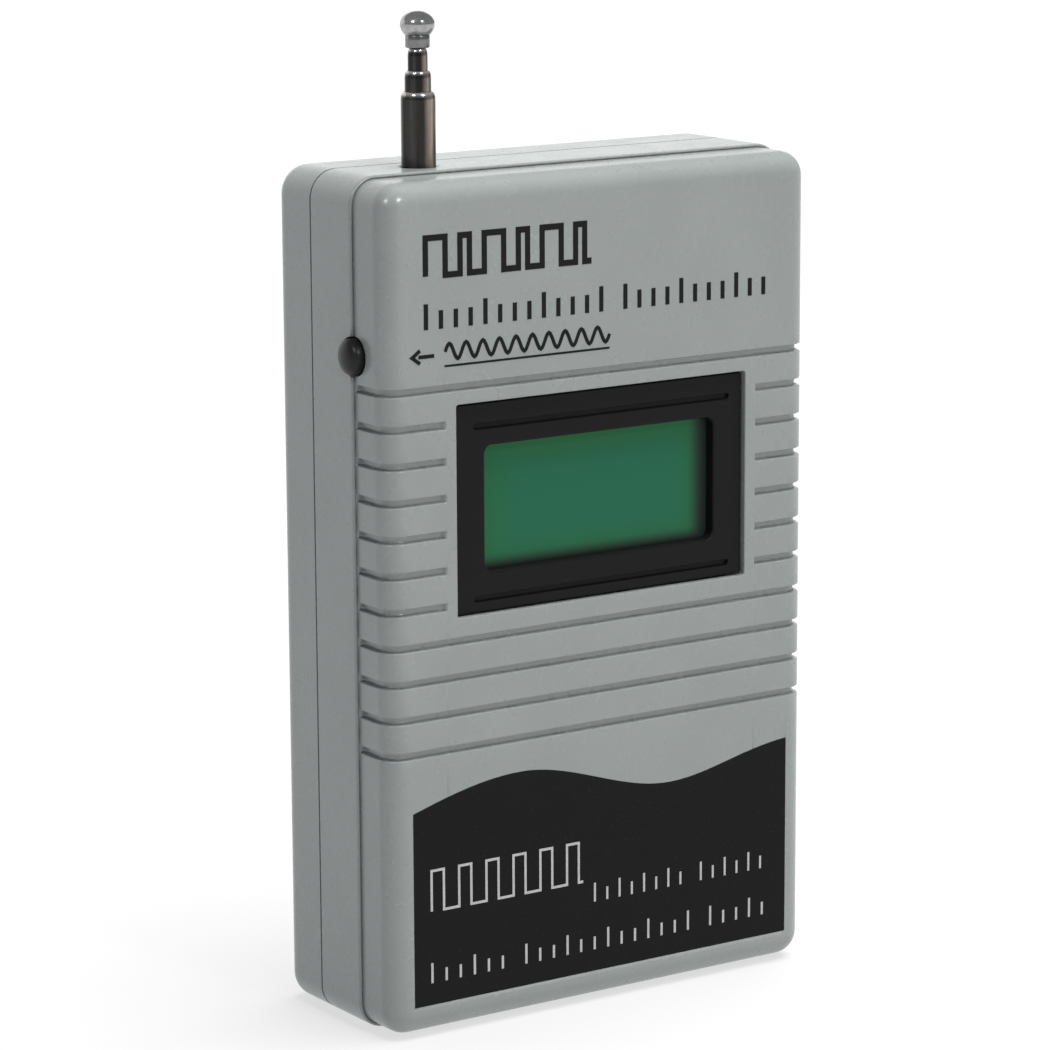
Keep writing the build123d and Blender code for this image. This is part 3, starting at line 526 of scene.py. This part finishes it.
def cap_nickel():
    """Nickel on the antenna's ball and the neck under it, with painted reflection: the ball is
    coloured brighter and the neck duller, by height.
    """
    m = Nodes("cap_nickel")
    # painted reflection: a lighter colour on the ball and a darker one on the neck, changing with
    # height
    height = m.span(m.axes(), "Z", (BALL_LOW - 0.1) * MM, (BALL_LOW + 0.3) * MM, "LINEAR")
    tone = m.ramp(height, "Result", [(0.0, grey(0.22)), (1.0, grey(0.42))])
    cloud = m.noise(0.5, detail=3.0)
    worn = m.ramp(cloud, "Fac", [(0.3, grey(0.72)), (0.7, grey(1.0))])
    mix = m.multiply(tone, "Color", worn, "Color")
    m.link(mix, "Result", m.shader, "Base Color")
    m.gloss(m.noise(0.8, detail=4.0), 0.12, 0.26, spread=0.15)
    m.bump([(cloud, "Fac", 0.25, 0.004)])
    return m.set(Metallic=1.0).material


def cell_can():
    """A printed sleeve on a cell: dull green with a pale band, and bare steel at both ends."""
    m = Nodes("cell_can")
    low, high = box_mm("battery_left")
    along = m.span(m.axes(), "Z", low[2] * MM, high[2] * MM, "LINEAR")
    steel = grey(0.55)
    green = (0.02, 0.10, 0.055)
    pale = (0.62, 0.63, 0.60)
    bands = m.ramp(
        along, "Result",
        [(0.0, steel), (0.018, green), (0.30, pale), (0.34, green), (0.70, pale), (0.955, steel)],
    )
    bands.color_ramp.interpolation = "CONSTANT"
    cloud = m.noise(1.5, detail=4.0)
    mix = m.multiply(bands, "Color", cloud, "Color", factor=0.2)
    m.link(mix, "Result", m.shader, "Base Color")
    m.gloss(cloud, 0.22, 0.34)
    m.bump([(cloud, "Fac", 0.1, 0.02)])
    return m.set(Metallic=0.35).material


def slot_materials():
    """A material for each of the record's slots, and a few for the pieces made here."""
    made = [
        case_plastic(),
        label_film(),
        moulded(
            "black_plastic", grey(0.007), rough=(0.32, 0.42), grain_mm=0.08, wear_and_sheen=0.12,
            specular=0.10,
        ),
        moulded(
            "button_plastic", grey(0.008), rough=(0.30, 0.38), grain_mm=0.07, wear_and_sheen=0.10,
            specular=0.22,
        ),
        display_film(),
        display_glass(),
        striped("contact_rubber", (0.24, 0.13, 0.12), (0.03, 0.03, 0.03), 0.1, "X", 0.6),
        moulded("diffuser_plastic", (0.55, 0.66, 0.50), rough=(0.25, 0.35), wear_and_sheen=0.02),
        moulded("led_plastic", (0.55, 0.60, 0.22), rough=(0.15, 0.25), wear_and_sheen=0.02),
        striped("board_laminate", (0.012, 0.095, 0.045), (0.016, 0.12, 0.058), 0.35, "X", 0.3),
        moulded("chip_plastic", grey(0.022), rough=(0.45, 0.6), grain_mm=0.05, grain=0.5),
        metal("tin_plate", grey(0.62), rough=(0.22, 0.4)),
        moulded("trimmer_plastic", (0.05, 0.16, 0.45), rough=(0.3, 0.4)),
        metal("can_aluminium", grey(0.70), rough=(0.25, 0.4), streak=(1.0, 1.0, 0.1)),
        moulded("capacitor_tan", (0.42, 0.27, 0.15), rough=(0.35, 0.5), grain_mm=0.06),
        metal("zinc_steel", (0.55, 0.56, 0.58), rough=(0.28, 0.45)),
        antenna_nickel("antenna_nickel", 1.0),
        antenna_nickel("antenna_nickel_dark", 0.78),
        metal("collar_brass", (0.60, 0.42, 0.16), rough=(0.25, 0.4)),
        cell_can(),
        metal("spring_nickel", (0.58, 0.56, 0.52), rough=(0.18, 0.3), streak=(1.0, 1.0, 0.3)),
        moulded("lead_red", (0.42, 0.02, 0.015), rough=(0.35, 0.45)),
        moulded("lead_black", grey(0.02), rough=(0.35, 0.45)),
        cap_nickel(),
        moulded(
            "print_black", grey(0.006), rough=(0.35, 0.45), grain_mm=0.05, wear_and_sheen=0.15,
            specular=0.12,
        ),
        metal("print_silver", grey(0.50), rough=(0.35, 0.5), grain_mm=0.2),
    ]
    return {material.name: material for material in made}


def place_piece(obj, body, material, nodes=()):
    """Shade a new piece, set it on its body and let it stand for the CAD nodes."""
    obj.data.materials.clear()
    obj.data.materials.append(material)
    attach(obj, body)
    if nodes:
        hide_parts(*nodes)
    return obj


# ================================================================ front shell
def groove_share(z):
    """How much of a groove's full depth there is at a height."""
    for top in GROOVE_TOPS:
        down = top - z
        for (d0, s0), (d1, s1) in zip(GROOVE_SECTION, GROOVE_SECTION[1:]):
            if d0 <= down <= d1:
                return s0 + (s1 - s0) * (down - d0) / (d1 - d0)
    return 0.0


def beside_display(z):
    """True at the heights of the grooves that stop beside the display."""
    margin = 1.5
    return GROOVE_TOPS[SHORT_GROOVES[0]] + margin > z > GROOVE_TOPS[SHORT_GROOVES[-1]] - margin


def groove_depth(x, z):
    """Depth of the grooves at a point of the front face."""
    share = groove_share(z)
    if beside_display(z):
        share *= min(1.0, max(0.0, (abs(x) - SHORT_X) / SHORT_RISE))
    return GROOVE_D * share


def front_profile():
    """(inset, y, way in) from the parting line to the face; a groove cuts along the way in."""
    none = (0.0, 0.0)
    lip = 0.28
    profile = [(0.14, SEAM_Y, none), (0.05, SEAM_Y - 0.10, none), (0.0, SEAM_Y - 0.20, none)]
    profile += [(0.0, SEAM_Y - 0.28, none), (0.0, STEP_Y + lip + 0.08, none)]
    profile += [(inset, y, none) for inset, y in quarter(0.0, STEP_Y, lip, 4)]
    profile += [((lip + INSET) / 2 + 0.02, STEP_Y + 0.13, none), (INSET, STEP_Y - 0.02, none)]
    profile.append((INSET, STEP_Y - 0.06, (1.0, 0.0)))
    steps = 12
    for step in range(steps + 1):
        a = math.radians(90 * step / steps)
        inset = INSET + FACE_R * (1 - math.cos(a))
        profile.append((inset, FACE_Y + FACE_R * (1 - math.sin(a)), (math.cos(a), math.sin(a))))
    profile.append((CORNER_R, FACE_Y, (0.0, 1.0)))
    return profile


def front_shell_body():
    """The outside of the front shell, as one closed block with its grooves."""
    edge_x = HALF_X - CORNER_R
    half_levels = (0, 6, 12, 18, 20.6, SHORT_X, SHORT_X + SHORT_RISE, 21.1, edge_x)
    x_levels = sorted({side * x for side in (-1, 1) for x in half_levels})
    z_levels = {CORNER_R, TOP_Z - CORNER_R, 10.0, 20.0, 30.5, 77.0, 82.0, 87.0}
    z_levels |= {top - down for top in GROOVE_TOPS for down, _ in GROOVE_SECTION}
    z_levels |= {top + 1.3 for top in GROOVE_TOPS}
    z_levels = sorted(z_levels)
    verts = []
    faces = []
    rings = []
    for inset, y, (way_inset, way_y) in front_profile():
        outline = rounded_outline(inset, CORNER_R, HALF_X, 0.0, TOP_Z, x_levels, z_levels, 8)
        rings.append(range(len(verts), len(verts) + len(outline)))
        for x, z, on_side in outline:
            depth = groove_share(z) * GROOVE_D if on_side else 0.0
            verts.append((x - math.copysign(depth * way_inset, x), y + depth * way_y, z))
    for ring_a, ring_b in zip(rings, rings[1:]):
        bridge(faces, ring_a, ring_b)
    faces.append(tuple(rings[0]))
    start = len(verts)
    rows = len(z_levels)
    for x in x_levels:
        verts.extend((x, FACE_Y + groove_depth(x, z), z) for z in z_levels)
    for i in range(len(x_levels) - 1):
        for j in range(rows - 1):
            a = start + i * rows + j
            faces.append((a, a + rows, a + rows + 1, a + 1))
    return new_object("front_shell_skin", verts, faces)


def lipped_cutter(half_x, low_z, high_z, radius, lip, y_face, y_back):
    """Cuts a rounded opening whose front edge is rolled over by lip."""
    profile = [(-lip, y_face - 1.0)]
    for step in range(6):
        a = math.radians(90 * step / 5)
        profile.append((lip * (math.sin(a) - 1), y_face + lip * (1 - math.cos(a))))
    profile.append((0.0, y_back))
    return slab("cutter", half_x, low_z, high_z, radius, profile)


def label_cutter():
    """The label's own outline, drawn out forwards, to sink its seat into the face."""
    work = bmesh.new()
    work.from_mesh(frame["nodes"]["front_label"].data)
    bmesh.ops.remove_doubles(work, verts=work.verts, dist=1e-7)
    middle = (LABEL_LOW[1] + LABEL_HIGH[1]) / 2 * MM
    for vert in work.verts:
        if vert.co.y < middle:
            vert.co.y -= MM
    bmesh.ops.recalc_face_normals(work, faces=work.faces)
    mesh = bpy.data.meshes.new("cutter")
    work.to_mesh(mesh)
    work.free()
    obj = bpy.data.objects.new("cutter", mesh)
    bpy.context.scene.collection.objects.link(obj)
    return obj


def front_shell(materials):
    """The front shell: hollow, with its display opening, label seat, button and antenna holes."""
    shell = front_shell_body()
    inside = [(0.0, PARTING_Y + 1.0), (0.0, INNER_FRONT_Y)]
    boolean(shell, slab("cutter", HALF_X - WALL_INSET, INNER_MARGIN_Z, TOP_Z - INNER_MARGIN_Z,
                        INNER_CORNER_R, inside))
    low_z = OPENING_Z - OPENING_HALF_Z
    high_z = OPENING_Z + OPENING_HALF_Z
    boolean(shell, lipped_cutter(OPENING_HALF_X, low_z, high_z, 0.3, 0.16, FACE_Y,
                                 INNER_FRONT_Y + 1))
    boolean(shell, label_cutter())
    button_y = (BUTTON_LOW[1] + BUTTON_HIGH[1]) / 2
    button_z = (BUTTON_LOW[2] + BUTTON_HIGH[2]) / 2
    outer_x = -HALF_X - 1
    inner_x = -HALF_X + 4
    hole = [(0.0, outer_x), (BUTTON_HOLE_R, outer_x), (BUTTON_HOLE_R, inner_x), (0.0, inner_x)]
    boolean(shell, lathe("cutter", hole, "X", (button_y, button_z)))
    mouth_r = ANTENNA_HOLE_R + ANTENNA_HOLE_LIP
    hole = [
        (0.0, TOP_Z - 4), (ANTENNA_HOLE_R, TOP_Z - 4), (ANTENNA_HOLE_R, TOP_Z - ANTENNA_HOLE_LIP),
        (mouth_r, TOP_Z), (mouth_r, TOP_Z + 1), (0.0, TOP_Z + 1),
    ]
    boolean(shell, lathe("cutter", hole, "Z", (ANTENNA_X, ANTENNA_Y)))
    smooth(shell, 50)
    place_piece(shell, "case", materials["case_plastic"], ["front_shell"])


# ================================================================ display
def display_frame(materials):
    """The black frame: a lipped window, two decorative grooves and a pocket for the glass."""
    face_y = FRAME_LOW[1]
    back_y = FRAME_HIGH[1]
    half_x = OPENING_HALF_X - FRAME_GAP
    half_z = OPENING_HALF_Z - FRAME_GAP
    edge_r = 0.14
    front = quarter(0.0, face_y, edge_r, 5)[::-1]
    frame_piece = slab("display_frame_skin", half_x, OPENING_Z - half_z, OPENING_Z + half_z, 0.4,
                       front + [(0.0, back_y)])
    depths = [(0.0, INNER_FRONT_Y + 0.2), (0.0, back_y - 0.01)]
    flange = slab("flange", FRAME_HIGH[0], FRAME_LOW[2], FRAME_HIGH[2], 0.3, depths)
    boolean(frame_piece, flange, "UNION")
    low_z = WINDOW_Z - WINDOW_HALF_Z
    high_z = WINDOW_Z + WINDOW_HALF_Z
    boolean(frame_piece, lipped_cutter(WINDOW_HALF_X, low_z, high_z, 1.0, 0.3, face_y, back_y + 1))
    gap = 0.1
    pocket = [(0.0, POLAR_LOW[1]), (0.0, back_y + 1)]
    boolean(frame_piece, slab("cutter", GLASS_HIGH[0] + gap, GLASS_LOW[2] - gap,
                              GLASS_HIGH[2] + gap, 0.3, pocket))
    groove_half_x = 17.2
    groove_half_z = 0.32
    groove = [(-0.06, face_y - 1), (-0.06, face_y), (0.0, face_y + 0.08), (0.06, face_y + 0.45)]
    for z in (48.5, 67.6):
        boolean(frame_piece, slab("cutter", groove_half_x, z - groove_half_z, z + groove_half_z,
                                  0.3, groove, centre_x=0.3))
    smooth(frame_piece, 50)
    place_piece(frame_piece, "case", materials["black_plastic"], ["display_frame"])


def display_film_piece(materials):
    """The film on the glass, with rounded corners."""
    profile = [(0.04, POLAR_LOW[1]), (0.0, POLAR_LOW[1] + 0.04), (0.0, POLAR_HIGH[1])]
    film = slab("display_film_sheet", POLAR_HIGH[0], POLAR_LOW[2], POLAR_HIGH[2], 0.5, profile)
    smooth(film)
    place_piece(film, "case", materials["display_film"], ["lcd_polarizer"])


# ================================================================ button and antenna
def button(materials):
    """The domed button cap with its flange inside the wall."""
    end_x = BUTTON_LOW[0]
    flange_x = BUTTON_HIGH[0]
    flange_r = (BUTTON_HIGH[1] - BUTTON_LOW[1]) / 2
    cap_r = 2.0
    dome = 1.05
    power = 2.3
    profile = []
    for step in range(13):
        r = cap_r * math.sin(math.radians(90 * step / 12))
        profile.append((r, end_x + dome * (1 - (1 - (r / cap_r) ** power) ** (1 / power))))
    profile += [
        (cap_r, flange_x - 0.75), (cap_r + 0.15, flange_x - 0.6), (flange_r - 0.1, flange_x - 0.6),
        (flange_r, flange_x - 0.5), (flange_r, flange_x - 0.1), (flange_r - 0.1, flange_x),
        (0.0, flange_x),
    ]
    centre = ((BUTTON_LOW[1] + BUTTON_HIGH[1]) / 2, (BUTTON_LOW[2] + BUTTON_HIGH[2]) / 2)
    cap = lathe("button_cap_skin", profile, "X", centre)
    smooth(cap)
    place_piece(cap, "button", materials["button_plastic"], ["button_cap"])


def antenna_stage(node, body, wall, passes_r, material):
    """A tube of the antenna, its mouth rolled in round the next stage."""
    low, high = box_mm(node)
    r = (high[0] - low[0]) / 2
    top = high[2]
    roll = r - passes_r - MOUTH_RING
    profile = [(r - wall, low[2]), (r - 0.05, low[2]), (r, low[2] + 0.05)]
    for step in range(7):
        a = math.radians(90 * step / 6)
        profile.append((r - roll * (1 - math.cos(a)), top - ROLL_H * (1 - math.sin(a))))
    profile += [(passes_r, top), (passes_r, top - THROAT_H), (r - wall, top - THROAT_END_H)]
    tube = lathe(node + "_skin", profile, "Z", (ANTENNA_X, ANTENNA_Y), 72)
    smooth(tube, 40)
    place_piece(tube, body, material, [node])


def antenna_cap(materials):
    """The cap on the rod: a short neck under a flattened ball."""
    low, high = box_mm("antenna_tip_cap")
    ball_r = (high[0] - low[0]) / 2
    rod_r = 0.75
    neck_r = 1.35
    edge = 0.12
    profile = [(0.0, ROD_TOP), (rod_r, ROD_TOP), (rod_r, low[2]), (neck_r - edge, low[2])]
    profile += [(neck_r, low[2] + edge), (neck_r, BALL_LOW - edge), (neck_r - 0.05, BALL_LOW)]
    under = math.acos((neck_r + 0.02) / ball_r)
    for step in range(19):
        a = -under + (math.pi / 2 + under) * step / 18
        height = (high[2] - BALL_MIDDLE) if a > 0 else (BALL_MIDDLE - BALL_LOW) / math.sin(under)
        profile.append((ball_r * math.cos(a), BALL_MIDDLE + height * math.sin(a)))
    cap = lathe("antenna_cap_skin", profile, "Z", (ANTENNA_X, ANTENNA_Y), 72)
    smooth(cap, 50)
    place_piece(cap, "antenna_tip", materials["cap_nickel"], ["antenna_tip_cap"])


# ================================================================ printed marks
def stroke(lines, width, y_front, y_back, name):
    """Thin raised strokes of one width along open lines of (x, z) points, as one mesh."""
    verts = []
    faces = []
    for line in lines:
        left = []
        right = []
        for i, (x, z) in enumerate(line):
            before = line[max(i - 1, 0)]
            after = line[min(i + 1, len(line) - 1)]
            a = unit(before, (x, z)) if i else unit((x, z), after)
            b = unit((x, z), after) if i < len(line) - 1 else a
            nx, nz = -(a[1] + b[1]), a[0] + b[0]
            scale = width / (nx * nx + nz * nz)
            left.append((x + nx * scale, z + nz * scale))
            right.append((x - nx * scale, z - nz * scale))
        start = len(verts)
        count = len(line)
        for y in (y_front, y_back):
            for x, z in left + right:
                verts.append((x, y, z))
        deep = start + 2 * count
        for i in range(count - 1):
            j = i + 1
            faces.append((start + i, start + j, start + count + j, start + count + i))
            faces.append((deep + i, deep + count + i, deep + count + j, deep + j))
            faces.append((start + i, deep + i, deep + j, start + j))
            faces.append((start + count + i, start + count + j, deep + count + j, deep + count + i))
        for i in (0, count - 1):
            faces.append((start + i, start + count + i, deep + count + i, deep + i))
    return new_object(name, verts, faces)


def unit(p, q):
    """Unit vector from p to q."""
    dx, dz = q[0] - p[0], q[1] - p[1]
    length = math.hypot(dx, dz)
    return dx / length, dz / length


def pulse_train(x, z_low, z_high, widths):
    """A square wave that starts low at x, with a high and a low width for each pulse."""
    line = [(x, z_low)]
    for high, low in widths:
        line += [(x, z_high), (x + high, z_high), (x + high, z_low), (x + high + low, z_low)]
        x += high + low
    return line


def wave_line(x, z, pitch, height, turns, steps=12):
    """A sine wave that starts at x, as a list of points."""
    count = turns * steps
    return [
        (x + pitch * k / steps, z + height / 2 * math.sin(2 * math.pi * k / steps))
        for k in range(count + 1)
    ]


def tick_row(x, z, groups, pitch, heights):
    """Groups of upright ticks on one line; the heights repeat, and a gap parts the groups."""
    lines = []
    for count in groups:
        for k in range(count):
            height = heights[k % len(heights)]
            lines.append([(x, z), (x, z + height)])
            x += pitch
        x += pitch * 0.7
    return lines


def print_piece(name, lines, width, material, on_label=False):
    """Set a group of strokes on the face or on the label, no further out than the CAD face."""
    sunk = 0.004
    back_y = LABEL_LOW[1] + sunk if on_label else FACE_Y + sunk
    marks = stroke(lines, width, FRONT_Y, back_y, name)
    place_piece(marks, "case", material)


def printed_marks(materials):
    """Plain measuring-tool graphics in place of the case's printing."""
    black = materials["print_black"]
    silver = materials["print_silver"]
    margin_x = -23.2
    uneven = [(2.5, 1.9), (1.2, 1.9), (2.5, 1.9), (1.2, 1.9), (2.5, 1.9), (1.2, 0.9)]
    print_piece("print_pulse_train", [pulse_train(margin_x, 84.6, 88.7, uneven)], 0.68, black)
    ticks = tick_row(margin_x, 78.85, [13, 11], 1.9, [2.8, 2.0, 2.0, 2.0])
    print_piece("print_scale", ticks, 0.55, black)
    arrow = [[(-22.2, 76.0), (-24.2, 76.0)], [(-24.0, 76.72), (-25.0, 76.0), (-24.0, 75.28)]]
    print_piece("print_arrow", arrow, 0.42, black)
    print_piece("print_wave", [wave_line(-20.8, 76.3, 2.15, 1.7, 10)], 0.42, black)
    print_piece("print_wave_rule", [[(-20.9, 74.75), (0.7, 74.75)]], 0.24, black)
    even = [(1.6, 2.0)] * 5 + [(1.6, 0.6)]
    tall = pulse_train(margin_x, 14.4, 19.0, even)
    print_piece("print_label_pulses", [tall], 0.30, silver, on_label=True)
    ticks = tick_row(-1.4, 11.8, [8, 6], 1.7, [2.2, 1.5])
    print_piece("print_label_scale", ticks, 0.28, silver, on_label=True)
    ticks = tick_row(margin_x, 6.2, [6, 13, 5], 1.86, [2.3, 1.5, 1.5])
    print_piece("print_label_rule", ticks, 0.30, silver, on_label=True)


# ================================================================ CAD nodes that stay
def dress_cad_nodes(materials):
    """Give every CAD node the material of its slot in the record."""
    slot_of = {part["node"]: part["material_slot"] for part in frame["record"]["subparts"]}
    for name, obj in frame["nodes"].items():
        obj.data.materials.clear()
        obj.data.materials.append(materials[slot_of[name]])
        smooth(obj, 32)


# ================================================================ studio
def camera():
    """A long lens in front of the case, to its left and a little above it."""
    heading = -33.905
    look_down = 11.559
    lean = -0.294
    data = bpy.data.cameras.new("camera")
    data.lens = 142.39
    data.sensor_width = 36.0
    data.clip_start = 0.01
    data.clip_end = 50.0
    obj = bpy.data.objects.new("camera", data)
    bpy.context.scene.collection.objects.link(obj)
    turn = Matrix.Rotation(math.radians(heading), 4, "Z")
    tilt = Matrix.Rotation(math.radians(90.0 - look_down), 4, "X")
    roll = Matrix.Rotation(math.radians(lean), 4, "Z")
    place = Matrix.Translation((-0.25874, -0.38015, 0.14716))
    obj.matrix_world = place @ turn @ tilt @ roll
    bpy.context.scene.camera = obj


def area_light(name, azimuth, elevation, distance, size, power, tint=(1.0, 1.0, 1.0)):
    """A square lamp aimed at the case: azimuth 0 is in front of it, and 90 is to its left."""
    data = bpy.data.lights.new(name, "AREA")
    data.shape = "SQUARE"
    data.size = size
    data.energy = power
    data.color = tint
    obj = bpy.data.objects.new(name, data)
    bpy.context.scene.collection.objects.link(obj)
    turn = Matrix.Rotation(math.radians(-azimuth), 4, "Z")
    tilt = Matrix.Rotation(math.radians(90.0 - elevation), 4, "X")
    back = Matrix.Translation((0.0, 0.0, distance))
    target = Matrix.Translation((0.0, 0.0, 0.06))
    obj.matrix_world = target @ turn @ tilt @ back
    return obj


def stage_sheet(name, corners, tone, glow):
    """A flat pale sheet of the studio that also glows by itself."""
    mesh = bpy.data.meshes.new(name)
    mesh.from_pydata(corners, [], [(0, 1, 2, 3)])
    sheet = bpy.data.objects.new(name, mesh)
    bpy.context.scene.collection.objects.link(sheet)
    m = Nodes(name + "_white")
    cloud = m.noise(60.0)
    tint = m.ramp(cloud, "Fac", [(0.3, grey(tone - 0.005)), (0.7, grey(tone + 0.005))])
    m.link(tint, "Color", m.shader, "Base Color")
    m.set(Roughness=0.8, Specular_IOR_Level=0.2)
    m.set(Emission_Color=(1.0, 1.0, 1.0, 1.0), Emission_Strength=glow)
    mesh.materials.append(m.material)


def surround():
    """An even white surround, which shows in reflections more than it lights the object."""
    world = bpy.data.worlds.new("surround")
    world.use_nodes = True
    tree = world.node_tree
    sky = tree.nodes["Background"]
    sky.inputs["Color"].default_value = (0.97, 0.985, 1.0, 1.0)
    path = tree.nodes.new("ShaderNodeLightPath")
    strength = tree.nodes.new("ShaderNodeMapRange")
    strength.inputs["To Min"].default_value = 0.11
    strength.inputs["To Max"].default_value = 0.40
    tree.links.new(path.outputs["Is Glossy Ray"], strength.inputs["Value"])
    tree.links.new(strength.outputs["Result"], sky.inputs["Strength"])
    bpy.context.scene.world = world


def lamps():
    """Soft light from above, two lamps that only make highlights and three that only fill."""
    sun = bpy.data.lights.new("overhead", "SUN")
    sun.energy = 5.45
    sun.angle = math.radians(50)
    overhead = bpy.data.objects.new("overhead", sun)
    bpy.context.scene.collection.objects.link(overhead)
    overhead.rotation_euler = (math.radians(6), math.radians(14), 0.0)
    overhead.visible_glossy = False
    near = {"elevation": 38.0, "distance": 0.75, "size": 0.05}
    far = {"elevation": 2.0, "distance": 0.90, "size": 0.40}
    glints = [
        area_light("glint_front", azimuth=-4.0, power=2.2, **near),
        area_light("glint_left", azimuth=66.0, power=1.6, **near),
    ]
    for glint in glints:
        glint.visible_diffuse = False
    fills = [
        area_light("fill_high", azimuth=-4.0, power=0.9, **near),
        area_light("fill_front", azimuth=-10.0, power=2.9, **far),
        area_light("fill_left", azimuth=90.0, power=0.65, tint=(0.68, 0.84, 1.0), **far),
    ]
    for fill in fills:
        fill.visible_glossy = False


def studio():
    """A pale floor and backdrop, the surround and the lamps."""
    surround()
    lamps()
    reach = 6.0
    corners = [(-reach, -reach, 0), (reach, -reach, 0), (reach, reach, 0), (-reach, reach, 0)]
    stage_sheet("floor", corners, tone=0.20, glow=0.64)
    half_width = 2.5
    behind = 1.9
    top = 1.3
    card = [
        (-half_width, behind, 0.0), (half_width, behind, 0.0), (half_width, behind, top),
        (-half_width, behind, top),
    ]
    stage_sheet("backdrop", card, tone=0.36, glow=0.90)
    bpy.context.scene.view_settings.view_transform = "Standard"


def build():
    """Make every piece, then the studio."""
    for plain in list(bpy.data.materials):
        bpy.data.materials.remove(plain)
    materials = slot_materials()
    dress_cad_nodes(materials)
    front_shell(materials)
    display_frame(materials)
    display_film_piece(materials)
    button(materials)
    light = materials["antenna_nickel"]
    dark = materials["antenna_nickel_dark"]
    antenna_stage("antenna_base_tube", "case", wall=0.25, passes_r=1.495, material=light)
    antenna_stage("antenna_second_tube", "antenna_second", wall=0.2, passes_r=1.135, material=dark)
    antenna_stage("antenna_third_tube", "antenna_third", wall=0.19, passes_r=0.795, material=dark)
    antenna_cap(materials)
    printed_marks(materials)
    camera()
    studio()


build()
